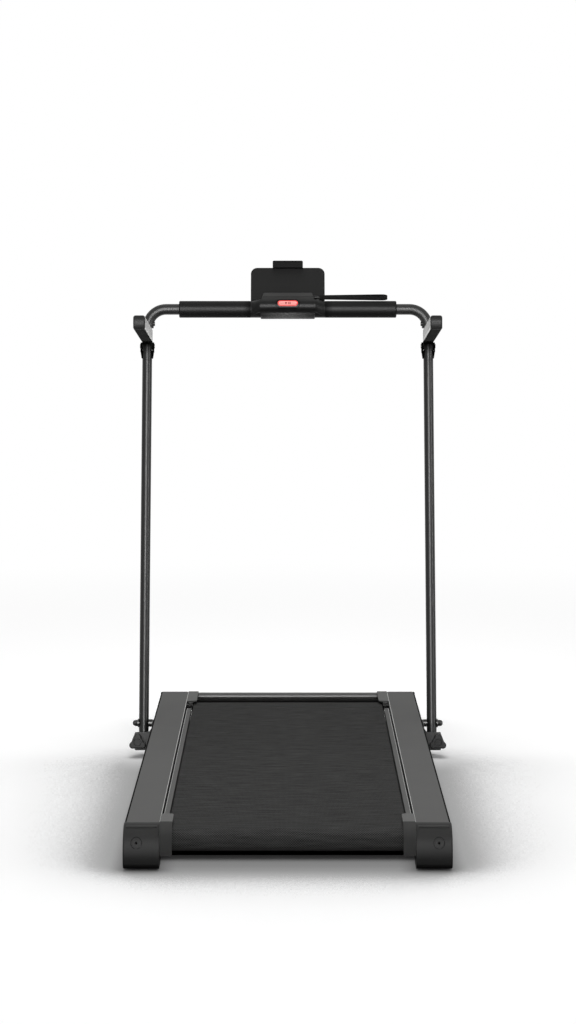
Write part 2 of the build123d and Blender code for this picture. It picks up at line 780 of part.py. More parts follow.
# Three-lobed lock knobs on threaded studs, clamping the uprights to their brackets
lobe_radius = 7.2
lobe_reach = 11.6
knob_waist = 12.2
knob_base = flange_face - 3
knob_thickness = 17
with BuildPart() as lock_knob:
    with BuildSketch(facing_user(knob_base)) as knob_outline:
        with Locations((knob_x, knob_s)):
            Circle(knob_waist)
            with PolarLocations(lobe_reach, 3, start_angle=90):
                Circle(lobe_radius)
        fillet(knob_outline.vertices(), radius=5)
    extrude(amount=knob_thickness)
    fillet(lock_knob.faces().sort_by(Axis(pivot, to_user))[-1].edges(), radius=2.5)
    with BuildSketch(facing_user(knob_base - knob_thickness)):
        with Locations((knob_x, knob_s)):
            Circle(8)
    extrude(amount=-2.5, taper=25, mode=Mode.SUBTRACT)
    with BuildSketch(facing_user(knob_base)):
        with Locations((knob_x, knob_s)):
            Circle(stud_radius)
    extrude(amount=-13)
    with BuildSketch(facing_user(flange_face - 0.4)):
        with Locations((knob_x, knob_s)):
            Circle(9)
    extrude(amount=3)
save_pair(lock_knob.part, "lock_knob")

# Upright tubes, drawn in towards their heads, with a closed foot and a lug for the lock knob's stud
upright_step = Vector(upright_head_x - upright_foot_x, 0, 0) + along * hinge_s


def upright_plane(s):
    """Plane square to the right upright at a given height along it."""
    origin = pivot + Vector(upright_foot_x, 0, 0) + upright_step * (s / hinge_s)
    return Plane(origin=origin, z_dir=upright_step.normalized())


lug_face = -15
lug_gauge = 9
foot_gauge = 4
with BuildPart() as upright_tube:
    with BuildSketch(upright_plane(upright_foot)):
        Circle(upright_radius)
    extrude(amount=upright_top - upright_foot)
    with BuildSketch(facing_user(lug_face)):
        with BuildLine():
            Polyline(
                (upright_foot_x - 9, flange_high - 4),
                (upright_foot_x + 10, flange_high - 4),
                (knob_x + 11, knob_s + 6),
                (knob_x + 11, knob_s - 8),
                (upright_foot_x + 8, upright_foot),
                (upright_foot_x - 9, upright_foot),
                close=True,
            )
        make_face()
    extrude(amount=-lug_gauge)
    with BuildSketch(upright_plane(upright_foot + foot_gauge)):
        Circle(upright_radius - upright_wall)
    extrude(amount=upright_top - upright_foot, mode=Mode.SUBTRACT)
    with BuildSketch(facing_user(lug_face)):
        with Locations((knob_x, knob_s)):
            SlotCenterToCenter(3, 2 * stud_radius + 2, rotation=90)
    extrude(amount=-lug_gauge - 3, mode=Mode.SUBTRACT)
    with BuildSketch(across(upright_foot_x - 20)):
        Circle(pivot_bolt_radius + running_gap)
    extrude(amount=40, mode=Mode.SUBTRACT)
save_pair(upright_tube.part, "upright_tube")

# Hinge clevises on the uprights' heads, whose two ears hold the arm knuckles
ear_inner = 11.2
ear_gauge = 3
clevis_top = 787
clevis_height = 16
clevis_depth = 25
clevis_half = ear_inner + ear_gauge
with BuildPart() as hinge_clevis:
    with BuildSketch(level(clevis_top)):
        with Locations((upright_head_x, 0)):
            RectangleRounded(2 * clevis_half, clevis_depth, 6)
    extrude(amount=-clevis_height, taper=8)
    for ear_start in (upright_head_x - clevis_half, upright_head_x + ear_inner):
        with BuildSketch(across(ear_start)):
            with BuildLine():
                Polyline(
                    (-10, clevis_top - 3),
                    (hinge_depth - hinge_radius, hinge_s),
                    (hinge_depth + hinge_radius, hinge_s),
                    (11, clevis_top - 3),
                    close=True,
                )
            make_face()
            with Locations((hinge_depth, hinge_s)):
                Circle(hinge_radius)
                Circle(hinge_bolt_radius, mode=Mode.SUBTRACT)
        extrude(amount=ear_gauge)
    with BuildSketch(upright_plane(clevis_top - clevis_height - 1)):
        Circle(upright_radius)
    extrude(amount=clevis_height + 2, mode=Mode.SUBTRACT)
save_pair(hinge_clevis.part, "hinge_clevis")

# Hinge bolts with low rounded heads
bolt_head_radius = 5
bolt_head_height = 1.4
with BuildPart() as hinge_bolts:
    with BuildSketch(across(upright_head_x - clevis_half)):
        with Locations((hinge_depth, hinge_s)):
            Circle(hinge_bolt_radius)
    extrude(amount=2 * clevis_half)
    for side in (-1, 1):
        with BuildSketch(across(upright_head_x + side * clevis_half)):
            with Locations((hinge_depth, hinge_s)):
                Circle(bolt_head_radius)
        extrude(amount=side * bolt_head_height)
    fillet(hinge_bolts.faces().sort_by(Axis.X)[-1].edges(), radius=1)
    fillet(hinge_bolts.faces().sort_by(Axis.X)[0].edges(), radius=1)
save_both(hinge_bolts.part, "hinge_bolts")

# Side arms: moulded box arms with a knuckle under the far end and a recess for the inlay
arm_middle_s = arm_low + arm_height / 2
arm_corner = 5
knuckle_half = 10.8
inlay_margin = 5
inlay_length = arm_far - arm_near - 2 * inlay_margin
inlay_height = 25
inlay_gauge = 1.2
inlay_centre = (arm_near + arm_far) / 2
spigot_radius = 6.2
with BuildPart() as side_arm:
    with BuildSketch(facing_user(arm_far)):
        with Locations((arm_x, arm_middle_s)):
            RectangleRounded(arm_width, arm_height, arm_corner)
    extrude(amount=arm_far - arm_near)
    fillet(side_arm.faces().sort_by(Axis(pivot, to_user))[-1].edges(), radius=3)
    with BuildSketch(facing_user(arm_far - arm_wall)):
        with Locations((arm_x, arm_middle_s)):
            RectangleRounded(arm_width - 2 * arm_wall, arm_height - 2 * arm_wall, arm_corner - arm_wall)
    extrude(amount=arm_far - arm_near - 2 * arm_wall - 2, mode=Mode.SUBTRACT)
    with BuildSketch(across(upright_head_x - knuckle_half)):
        with Locations((hinge_depth, hinge_s)):
            Circle(hinge_radius)
            Rectangle(2 * hinge_radius, arm_low - hinge_s + 1, align=(Align.CENTER, Align.MIN))
    extrude(amount=2 * knuckle_half)
    with BuildSketch(across(upright_head_x - knuckle_half)):
        with Locations((hinge_depth, hinge_s)):
            Circle(hinge_bolt_radius + running_gap)
    extrude(amount=2 * knuckle_half, mode=Mode.SUBTRACT)
    with BuildSketch(across(arm_x - arm_width / 2)):
        with Locations((inlay_centre, arm_middle_s)):
            RectangleRounded(inlay_length, inlay_height, 2)
    extrude(amount=inlay_gauge, mode=Mode.SUBTRACT)
    with BuildSketch(level(arm_low + arm_height + 1)):
        with Locations((bar_x, 0)):
            Circle(spigot_radius)
    extrude(amount=-arm_wall - 2, mode=Mode.SUBTRACT)
save_pair(side_arm.part, "side_arm")

with BuildPart() as arm_inlay:
    with BuildSketch(across(arm_x - arm_width / 2)):
        with Locations((inlay_centre, arm_middle_s)):
            RectangleRounded(inlay_length - 0.4, inlay_height - 0.4, 1.8)
    extrude(amount=inlay_gauge)
    chamfer(arm_inlay.faces().sort_by(Axis.X)[0].edges(), length=0.4)
save_both(arm_inlay.part, "arm_inlays")

# Handlebar: one bent tube whose reduced ends plug into the two arms
spigot_length = 20
with BuildPart() as handlebar_tube:
    with BuildLine(facing_user(0)):
        FilletPolyline(
            (-bar_x, bar_leg_s),
            (-bar_x, bar_s),
            (bar_x, bar_s),
            (bar_x, bar_leg_s),
            radius=bar_bend_radius,
        )
    with BuildSketch(level(bar_leg_s)):
        with Locations((-bar_x, 0)):
            Circle(bar_radius)
    sweep()
    with BuildSketch(level(bar_leg_s)):
        with Locations((-bar_x, 0), (bar_x, 0)):
            Circle(spigot_radius)
    extrude(amount=-spigot_length)
save(handlebar_tube.part, "handlebar_tube")

# Collars clamping the handlebar ends, each with a lock pin boss on its inner side
collar_height = 7
pin_boss_radius = 4.5
pin_boss_s = bar_leg_s + 8
pin_boss_start = bar_x - 8
pin_boss_end = 281.5
with BuildPart() as bar_collars:
    for side in (-1, 1):
        with BuildSketch(across(side * pin_boss_start)):
            with Locations((0, pin_boss_s)):
                Circle(pin_boss_radius)
        extrude(amount=side * (pin_boss_end - pin_boss_start))
        with BuildSketch(level(bar_leg_s - 0.8)):
            with Locations((side * bar_x, 0)):
                Circle(bar_radius + 1.2)
        extrude(amount=collar_height)
    with BuildSketch(level(bar_leg_s - 2)):
        with Locations((-bar_x, 0), (bar_x, 0)):
            Circle(spigot_radius)
    extrude(amount=4, mode=Mode.SUBTRACT)
    add(handlebar_tube.part, mode=Mode.SUBTRACT)
save(bar_collars.part, "bar_collars")

# Foam grip sleeves
with BuildPart() as grip_sleeve:
    with BuildSketch(across(grip_inner_x)):
        with Locations((0, bar_s)):
            Circle(grip_radius)
    extrude(amount=grip_outer_x - grip_inner_x)
    fillet(grip_sleeve.faces().sort_by(Axis.X)[-1].edges(), radius=2.5)
    with BuildSketch(across(grip_inner_x)):
        with Locations((0, bar_s)):
            Circle(bar_radius)
    extrude(amount=grip_outer_x - grip_inner_x, mode=Mode.SUBTRACT)
save_both(grip_sleeve.part, "grip_sleeves")

# Console housing: a hollow barrel in front of the bar with a wedge top, flared down to the grips
console_wall = 2.5
console_back = 21
barrel_radius = 14.2
barrel_axis = Vector(-13.3, 880.2)
console_floor = barrel_axis.Y - barrel_radius
deck_s = 896
panel_slope = radians(36.3)
panel_head_depth = 5
lip_width = 2.5
wedge_low_s = 894
wedge_foot_half = 56.2
wedge_head_half = 52
wedge_corner = 6.5
flare_width = 40
flare_end_x = grip_inner_x - 0.3
bezel_length = 52
bezel_height = 21.6
bezel_gap = 0.35
button_tilt = radians(18)
button_shift = 0.8
button_length = 42.5
button_height = 12.4
button_back = 6.5
button_proud = 0.8
panel_gauge = 1.2
plug_depth = -1.5
plug_s = 900.3
plug_radius = 3.6

panel_foot = barrel_axis + Vector(-sin(panel_slope), cos(panel_slope)) * barrel_radius
panel_run = (panel_head_depth - panel_foot.X) / cos(panel_slope)
panel_head = panel_foot + Vector(cos(panel_slope), sin(panel_slope)) * panel_run
barrel_centre = pivot + forward * barrel_axis.X + along * barrel_axis.Y
button_normal = to_user * cos(button_tilt) + along * sin(button_tilt)
button_plane = Plane(origin=barrel_centre, x_dir=(1, 0, 0), z_dir=button_normal)
panel_plane = Plane(
    origin=pivot + forward * panel_foot.X + along * panel_foot.Y,
    x_dir=(1, 0, 0),
    z_dir=along * cos(panel_slope) + to_user * sin(panel_slope),
)


def console_body(inset):
    """Console between its ends, drawn in by a wall thickness, with a wedge that narrows upwards."""
    half = console_half_width - inset
    with BuildSketch() as wedge_front:
        with BuildLine():
            Polyline(
                (-wedge_foot_half + inset, wedge_low_s - inset),
                (wedge_foot_half - inset, wedge_low_s - inset),
                (wedge_head_half - inset, panel_head.Y - inset),
                (-wedge_head_half + inset, panel_head.Y - inset),
                close=True,
            )
        make_face()
        fillet(wedge_front.vertices().group_by(Axis.Y)[-1], radius=wedge_corner - inset)
    with BuildPart() as body:
        with BuildSketch(across(-half)):
            with BuildLine():
                nose = ThreePointArc(
                    (barrel_axis.X, console_floor),
                    (barrel_axis.X - barrel_radius, barrel_axis.Y),
                    (panel_foot.X, panel_foot.Y),
                )
                Polyline(
                    nose @ 1,
                    (panel_head.X, panel_head.Y),
                    (panel_head.X + lip_width, panel_head.Y),
                    (panel_head.X + lip_width, deck_s),
                    (console_back, deck_s),
                    (console_back, console_floor),
                    nose @ 0,
                )
            make_face()
            if inset:
                offset(amount=-inset, kind=Kind.INTERSECTION, mode=Mode.REPLACE)
        extrude(amount=2 * half)
        with BuildSketch(facing_user(-2 * console_half_width)):
            with Locations((0, wedge_low_s - inset)):
                Rectangle(3 * console_half_width, console_half_width, align=(Align.CENTER, Align.MIN))
            add(wedge_front.sketch, mode=Mode.SUBTRACT)
        extrude(amount=-4 * console_half_width, mode=Mode.SUBTRACT)
    return body.part


def panel_outline(shrink):
    """Outline of the display panel on the wedge's slope, with rounded upper corners."""
    low = 4.8 + shrink
    high = panel_run - 0.8 - shrink
    with BuildSketch(panel_plane) as outline:
        with BuildLine():
            Polyline(
                (-wedge_foot_half + 1 + shrink, low),
                (wedge_foot_half - 1 - shrink, low),
                (wedge_head_half - 1 - shrink, high),
                (-wedge_head_half + 1 + shrink, high),
                close=True,
            )
        make_face()
        middle = outline.sketch.center()
        fillet(outline.vertices().filter_by(lambda v: (v.center() - middle).dot(along) > 0), radius=5)
    return outline.sketch


def barrel_pad(length, height, inner, outer):
    """Slot-shaped pad that follows the barrel's round front between two radii."""
    with BuildPart() as pad:
        with BuildSketch(across(-length / 2)):
            with Locations((barrel_axis.X, barrel_axis.Y)):
                Circle(outer)
                Circle(inner, mode=Mode.SUBTRACT)
        extrude(amount=length)
        with BuildSketch(button_plane):
            SlotOverall(length, height)
        extrude(amount=2 * barrel_radius, mode=Mode.INTERSECT)
    return pad.part


console_outside = console_body(0)
console_inside = console_body(console_wall)
panel_recess = panel_outline(0)
with BuildPart() as console_housing:
    add(console_outside)
    add(console_inside, mode=Mode.SUBTRACT)
    for side in (-1, 1):
        for share in (0, 0.2, 0.8, 1):
            ease = share * share * (3 - 2 * share)
            flare_depth = (barrel_axis.X - barrel_radius + flare_width / 2) * (1 - ease)
            flare_s = barrel_axis.Y * (1 - ease) + bar_s * ease
            section_width = flare_width * (1 - ease) + 2 * grip_radius * ease
            section_height = 2 * barrel_radius * (1 - ease) + 2 * grip_radius * ease
            flare_x = console_half_width + (flare_end_x - console_half_width) * share
            with BuildSketch(across(side * flare_x)):
                with Locations((flare_depth, flare_s)):
                    RectangleRounded(section_width, section_height, section_height / 2 - 0.2)
        loft()
        with BuildSketch(across(side * console_half_width)):
            with Locations((0, bar_s)):
                Circle(grip_radius - 0.05)
        extrude(amount=side * (flare_end_x - console_half_width))
    with BuildSketch(across(-grip_inner_x)):
        with Locations((0, bar_s)):
            Circle(bar_radius)
    extrude(amount=2 * grip_inner_x, mode=Mode.SUBTRACT)
    with BuildSketch(button_plane):
        SlotOverall(bezel_length, bezel_height)
    extrude(amount=2 * barrel_radius, mode=Mode.SUBTRACT)
    extrude(panel_recess, amount=-panel_gauge, dir=panel_plane.z_dir, mode=Mode.SUBTRACT)
    with BuildSketch(across(wedge_head_half - 2 * console_wall)):
        with Locations((plug_depth, plug_s)):
            Circle(plug_radius + running_gap)
    extrude(amount=4 * console_wall, mode=Mode.SUBTRACT)
save(console_housing.part, "console_housing")

# Console belly: the round lower shell that closes the console under the bar
belly_half_width = console_half_width - 0.2
belly_radius = 20.5


def belly_section(x, radius, top):
    """Part of a round section about the bar that lies under a given height."""
    with BuildSketch(across(x)) as section:
        with Locations((0, bar_s)):
            Circle(radius)
        with Locations((0, top)):
            Rectangle(3 * radius, 3 * radius, align=(Align.CENTER, Align.MIN), mode=Mode.SUBTRACT)
    return section.sketch


belly_outside = belly_section(-belly_half_width, belly_radius, console_floor)
belly_inside = belly_section(-belly_half_width + console_wall, belly_radius - console_wall, console_floor)
with BuildPart() as console_belly:
    extrude(belly_outside, amount=2 * belly_half_width, dir=(1, 0, 0))
    fillet(console_belly.edges().filter_by(GeomType.CIRCLE), radius=2)
    extrude(
        belly_inside,
        amount=2 * belly_half_width - 2 * console_wall,
        dir=(1, 0, 0),
        mode=Mode.SUBTRACT,
    )
    with BuildSketch(across(-belly_half_width)):
        with Locations((0, bar_s)):
            Circle(bar_radius)
    extrude(amount=2 * belly_half_width, mode=Mode.SUBTRACT)
save(console_belly.part, "console_belly")

# Display panel set in the wedge's slope, with a fine line between its window and its key strip
key_strip_height = 17.6
panel_face = panel_outline(0.2)
with BuildPart() as display_panel:
    extrude(panel_face, amount=-panel_gauge, dir=panel_plane.z_dir)
    with BuildSketch(panel_plane):
        with Locations((0, key_strip_height)):
            Rectangle(3 * console_half_width, 0.7)
    extrude(amount=-0.5, mode=Mode.SUBTRACT)
save(display_panel.part, "display_panel")

# Button bezel: a pad flush in the barrel, with a tab behind the wall at each end
tab_reach = 5
tab_height = 14
bezel_back = barrel_radius - console_wall
bezel_pad = barrel_pad(
    bezel_length - 2 * bezel_gap, bezel_height - 2 * bezel_gap, bezel_back, barrel_radius - 0.3
)
bezel_tabs = barrel_pad(bezel_length + 2 * tab_reach, tab_height, bezel_back - 1.5, bezel_back)
with BuildPart() as button_bezel:
    add(bezel_pad)
    add(bezel_tabs)
    with BuildSketch(button_plane):
        with Locations((0, button_shift)):
            SlotOverall(button_length + 2 * bezel_gap, button_height + 2 * bezel_gap)
    extrude(amount=2 * barrel_radius, mode=Mode.SUBTRACT)
save(button_bezel.part, "button_bezel")

# Start button with a face that follows the barrel, and the circuit board behind it
with BuildPart() as start_button:
    with BuildSketch(button_plane.offset(button_back)):
        with Locations((0, button_shift)):
            SlotOverall(button_length, button_height)
    extrude(amount=barrel_radius)
    with BuildSketch(across(-button_length)):
        with Locations((barrel_axis.X, barrel_axis.Y)):
            Circle(barrel_radius + button_proud)
    extrude(amount=2 * button_length, mode=Mode.INTERSECT)
save(start_button.part, "start_button")

board_face = 5
post_x = 38
with BuildPart() as console_board:
    with BuildSketch(button_plane.offset(board_face)):
        with Locations((-post_x, -2), (post_x, -2)):
            Circle(2.5)
    extrude(amount=barrel_radius)
    with BuildSketch(across(-console_half_width)):
        with Locations((barrel_axis.X, barrel_axis.Y)):
            Circle(bezel_back)
    extrude(amount=2 * console_half_width, mode=Mode.INTERSECT)
    with BuildSketch(button_plane.offset(board_face)):
        Rectangle(92, 16)
    extrude(amount=-1.6)
save(console_board.part, "console_board")

# Tablet rest: a leaning plate on the console's rear deck, with a guide slot for the clip
plate_front = 15
plate_top_s = 968.5
plate_corner = 14
plate_rise = (plate_top_s - deck_s) / cos(radians(plate_tilt))
plate_out = along * sin(radians(plate_tilt)) - forward * cos(radians(plate_tilt))
plate_plane = Plane(
    origin=pivot + forward * plate_front + along * deck_s, x_dir=(1, 0, 0), z_dir=plate_out
)
stem_width = 40
stem_gauge = 3
stem_back = -3
stem_length = 50
mount_half = console_half_width - 4
mount_depth = 7
with BuildPart() as tablet_rest:
    with BuildSketch(plate_plane) as plate_outline:
        Rectangle(2 * plate_half_width, plate_rise, align=(Align.CENTER, Align.MIN))
        fillet(plate_outline.vertices().group_by(Axis.Y)[-1], radius=plate_corner)
    extrude(amount=-plate_thickness)
    fillet(tablet_rest.faces().sort_by(Axis(plate_plane.origin, plate_out))[-1].edges(), radius=2.5)
    with BuildSketch(across(-mount_half)):
        with BuildLine():
            Polyline(
                (console_back, deck_s - 22),
                (console_back + mount_depth, deck_s - 22),
                (console_back + mount_depth + 2, deck_s + 12),
                (console_back, deck_s + 6),
                close=True,
            )
        make_face()
    extrude(amount=2 * mount_half)
    with BuildSketch(across(-plate_half_width)):
        with Locations((plate_front, deck_s)):
            Rectangle(60, 20, align=(Align.CENTER, Align.MAX))
        with Locations((console_back, deck_s)):
            Rectangle(60, 24, align=(Align.MIN, Align.MAX), mode=Mode.SUBTRACT)
    extrude(amount=2 * plate_half_width, mode=Mode.SUBTRACT)
    with BuildSketch(plate_plane.offset(stem_back)):
        with Locations((0, plate_rise + 1)):
            Rectangle(stem_width + 1, stem_length + 6, align=(Align.CENTER, Align.MAX))
    extrude(amount=-stem_gauge - 0.8, mode=Mode.SUBTRACT)
save(tablet_rest.part, "tablet_rest")

# Spring clip that slides up out of the tablet rest and hooks over the device
clip_rise = 12
hook_reach = 8
hook_gauge = 3.5
with BuildPart() as phone_clip:
    with BuildSketch(plate_plane.offset(stem_back - 0.4)):
        with Locations((0, plate_rise + 1)):
            Rectangle(stem_width, stem_length, align=(Align.CENTER, Align.MAX))
    extrude(amount=-stem_gauge)
    with BuildSketch(plate_plane.offset(-plate_thickness + 1)):
        with Locations((0, plate_rise + 0.5)):
            Rectangle(2 * clip_half_width, clip_rise, align=(Align.CENTER, Align.MIN))
    extrude(amount=plate_thickness + hook_reach - 1)
    fillet(phone_clip.edges().filter_by(Axis(plate_plane.origin, plate_out)).group_by(Axis.Z)[-1], radius=3)
    with BuildSketch(plate_plane.offset(hook_reach - hook_gauge)):
        with Locations((0, plate_rise + 2)):
            Rectangle(2 * clip_half_width, 5, align=(Align.CENTER, Align.MAX))
    extrude(amount=hook_gauge)
    with BuildSketch(plate_plane.offset(hook_reach)):
        with Locations((0, plate_rise + 5)):
            RectangleRounded(2 * clip_half_width - 16, 10, 2)
    extrude(amount=-0.8, mode=Mode.SUBTRACT)
save(phone_clip.part, "phone_clip")

# Safety plug in the console's right side, with a crimp for its wrist strap
plug_start_x = wedge_head_half - console_wall
crimp_start_x = wedge_foot_half + 0.5
crimp_x = 67
with BuildPart() as safety_plug:
    with BuildSketch(across(plug_start_x)):
        with Locations((plug_depth, plug_s)):
            Circle(plug_radius)
    extrude(amount=crimp_start_x - plug_start_x)
    with BuildSketch(across(crimp_start_x)):
        with Locations((plug_depth, plug_s)):
            RectangleRounded(11, 8.8, 3.5)
    extrude(amount=crimp_x - crimp_start_x, taper=-2)
save(safety_plug.part, "safety_plug")

# Wrist strap: a flat webbing loop along the top of the right grip, its front run lower than its back
strap_width = 8
strap_gauge = 1.8
strap_tilt = radians(26)
strap_route = [
    (crimp_x, -1.9),
    (120, -4.3),
    (170, -6.6),
    (195, -7.7),
    (204, -7.4),
    (209, -4.4),
    (210.6, 0),
    (209, 4.4),
    (204, 7.4),
    (195, 7.7),
    (170, 6.6),
    (120, 4.3),
    (crimp_x, 1.9),
]


def route_radii(points):
    """Largest even arc at each corner of a route: 0.45 of the shorter run over tan of half the turn."""
    radii = []
    for before, here, after in zip(points, points[1:], points[2:]):
        run_in = here - before
        run_out = after - here
        half_turn = radians(run_in.get_angle(run_out)) / 2
        radii.append(0.45 * min(run_in.length, run_out.length) * cos(half_turn) / sin(half_turn))
    return radii


strap_points = [Vector(x, across_run) for x, across_run in strap_route]
strap_plane = Plane(
    origin=pivot + forward * plug_depth + along * plug_s,
    x_dir=(1, 0, 0),
    z_dir=along * cos(strap_tilt) - forward * sin(strap_tilt),
)
with BuildSketch(strap_plane) as strap_band:
    with BuildLine() as strap_path:
        FilletPolyline(*strap_points, radius=route_radii(strap_points))
    trace(line_width=strap_gauge)
with BuildPart() as wrist_strap:
    extrude(strap_band.sketch, amount=strap_width / 2, dir=along, both=True)
print("strap length", round(strap_path.wire().length, 1))
save(wrist_strap.part, "wrist_strap")
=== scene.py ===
import json
import math
import bmesh
import bpy
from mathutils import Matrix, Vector


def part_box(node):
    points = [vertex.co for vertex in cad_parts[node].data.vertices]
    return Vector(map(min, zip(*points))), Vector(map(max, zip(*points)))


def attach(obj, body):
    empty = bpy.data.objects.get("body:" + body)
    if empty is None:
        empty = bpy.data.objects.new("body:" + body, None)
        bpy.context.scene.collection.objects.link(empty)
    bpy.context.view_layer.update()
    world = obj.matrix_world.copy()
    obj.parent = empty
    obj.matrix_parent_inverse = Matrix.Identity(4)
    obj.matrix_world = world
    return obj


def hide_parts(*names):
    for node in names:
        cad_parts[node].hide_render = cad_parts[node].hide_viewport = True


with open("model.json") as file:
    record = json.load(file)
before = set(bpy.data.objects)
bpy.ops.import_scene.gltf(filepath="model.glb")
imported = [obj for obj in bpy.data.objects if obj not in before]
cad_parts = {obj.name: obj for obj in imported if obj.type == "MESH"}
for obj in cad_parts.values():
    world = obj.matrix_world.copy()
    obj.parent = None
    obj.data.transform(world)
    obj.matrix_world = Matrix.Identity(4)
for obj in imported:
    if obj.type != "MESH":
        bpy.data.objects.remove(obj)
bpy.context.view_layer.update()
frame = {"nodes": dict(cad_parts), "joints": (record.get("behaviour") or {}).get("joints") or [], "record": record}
nodes = frame["nodes"]
joints = {joint["name"]: joint for joint in frame["joints"]}
mm = 0.001
print("frame loaded:", len(nodes), "nodes")

# The uprights lean, so their parts are placed by side, depth and height along the uprights
pivot = Vector(joints["handrail_fold"]["pos_m"])
toUser = Vector(joints["lock_knob_left_turn"]["axis"]).normalized()
forward = -toUser
along = Vector((0, toUser.z, -toUser.y))


def leanPoint(x, depth, height):
    return pivot + Vector((x * mm, 0, 0)) + forward * (depth * mm) + along * (height * mm)


# Small tools for modelling

def deselectAll():
    if bpy.context.object and bpy.context.object.mode != "OBJECT":
        bpy.ops.object.mode_set(mode="OBJECT")
    bpy.ops.object.select_all(action="DESELECT")


def takeUp(piece):
    deselectAll()
    piece.select_set(True)
    bpy.context.view_layer.objects.active = piece


def newPiece(name):  # the primitive just added, under its own name
    piece = bpy.context.object
    piece.name = name
    piece.data.name = name
    return piece


def settle(piece):  # move the place and turn into the mesh
    takeUp(piece)
    bpy.ops.object.transform_apply(location=True, rotation=True, scale=True)


def applyAll(piece):
    takeUp(piece)
    for modifier in list(piece.modifiers):
        bpy.ops.object.modifier_apply(modifier=modifier.name)


def editPiece(piece):
    takeUp(piece)
    bpy.ops.object.mode_set(mode="EDIT")
    bpy.ops.mesh.select_all(action="DESELECT")


def selectEdges(piece, test):  # in edit mode, by the two end points
    bpy.ops.mesh.select_mode(type="EDGE")
    bpy.ops.mesh.select_all(action="DESELECT")
    mesh = bmesh.from_edit_mesh(piece.data)
    for edge in mesh.edges:
        if test(edge.verts[0].co, edge.verts[1].co):
            edge.select_set(True)
    bmesh.update_edit_mesh(piece.data)


def joinPieces(pieces, name):
    deselectAll()
    for piece in pieces:
        piece.select_set(True)
    bpy.context.view_layer.objects.active = pieces[0]
    bpy.ops.object.join()
    return newPiece(name)


def addBlock(low, high, bevel):  # a block between two corners, its edges eased
    middle = [(a + b) / 2 for a, b in zip(low, high)]
    deselectAll()
    bpy.ops.mesh.primitive_cube_add(size=1, location=middle)
    block = bpy.context.object
    block.scale = [b - a for a, b in zip(low, high)]
    settle(block)
    bpy.ops.object.mode_set(mode="EDIT")
    bpy.ops.mesh.select_all(action="SELECT")
    bpy.ops.mesh.bevel(offset=bevel, segments=2, affect="EDGES")
    bpy.ops.object.mode_set(mode="OBJECT")
    return block


def finishPiece(piece, body, material, smoothAngle=35):
    takeUp(piece)
    bpy.ops.object.shade_smooth_by_angle(angle=math.radians(smoothAngle))
    piece.data.materials.clear()
    piece.data.materials.append(material)
    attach(piece, body)


# Camera at the photograph's place, and a plain pale room

cameraSet = {"lens": 82.2, "sensor": 36, "place": (0.0005, -4.551, 1.071), "tilt": 83.451}
cameraData = bpy.data.cameras.new("camera")
cameraData.lens = cameraSet["lens"]
cameraData.sensor_width = cameraSet["sensor"]
camera = bpy.data.objects.new("camera", cameraData)
camera.location = cameraSet["place"]
camera.rotation_euler = (math.radians(cameraSet["tilt"]), 0, 0)
bpy.context.scene.collection.objects.link(camera)
bpy.context.scene.camera = camera
bpy.context.scene.view_settings.view_transform = "Standard"

roomSet = {
    "floorSize": 80,
    "floorColour": (0.9, 0.9, 0.9, 1),
    "shadeColour": (0.12, 0.12, 0.12, 1),
    "floorLift": 0.25,  # light given to the floor so that it reads as pale
    "shadeReach": 0.45,  # how far, in metres, the painted shade reaches on the floor beside the deck
    "shadePower": 11.5,
    "shadeSamples": 8,
    "contactReach": 0.03,
    "shadeFull": 0.1,  # the painted shade fades out towards the front of the deck, from here
    "shadeStop": 0.4,  # to here
    "shadeLeft": 0.85,
    "rimStart": 1.1,  # metres from the middle, where the floor starts to fade to white
    "rimEnd": 3.4,
    "ambient": 0.15,
    "lamps": [  # lit: on matt surfaces, mirrored: in gloss; width and height in metres
        {"name": "frontFill", "place": (0.2, -4.9, 2.4), "aim": (0, 0, 0.5), "size": (1.6, 1.2),
         "power": 60, "lit": True, "mirrored": False},
        {"name": "topBox", "place": (0, 0.8, 5.0), "aim": (0, 0.1, 0), "size": (3.0, 3.0),
         "power": 190, "lit": True, "mirrored": False},
        {"name": "tallStrip", "place": (-0.3, -4.9, 0.95), "aim": (0, 0, 0.6), "size": (0.9, 1.7),
         "power": 230, "lit": False, "mirrored": True},
        {"name": "longStrip", "place": (0, -4.9, 2.9), "aim": (0, 0.4, 0.9), "size": (2.8, 0.8),
         "power": 260, "lit": False, "mirrored": True},
        {"name": "highStrip", "place": (0, -4.6, 2.9), "aim": (0, -0.6, 0.1), "size": (2.4, 1.3),
         "power": 50, "lit": False, "mirrored": True},
        {"name": "sideStrip", "place": (3.6, -1.6, 1.2), "aim": (0, 0.2, 0.6), "size": (0.3, 2.0),
         "power": 70, "lit": False, "mirrored": True},
    ],
}


def addNode(tree, kind, **settings):
    node = tree.nodes.new(kind)
    for key, value in settings.items():
        setattr(node, key, value)
    return node


def setInputs(node, **values):
    for key, value in values.items():
        node.inputs[key].default_value = value
    return node


def maths(tree, operation, first, second=None, clamp=False):
    node = addNode(tree, "ShaderNodeMath", operation=operation, use_clamp=clamp)
    for socket, value in zip(node.inputs, (first, second)):
        if isinstance(value, bpy.types.NodeSocket):
            tree.links.new(value, socket)
        elif value is not None:
            socket.default_value = value
    return node.outputs[0]


def mixColour(tree, factor, low, high):
    mix = addNode(tree, "ShaderNodeMix", data_type="RGBA")
    tree.links.new(factor, mix.inputs["Factor"])
    for socket, value in ((mix.inputs["A"], low), (mix.inputs["B"], high)):
        if isinstance(value, bpy.types.NodeSocket):
            tree.links.new(value, socket)
        else:
            socket.default_value = value
    return mix.outputs["Result"]


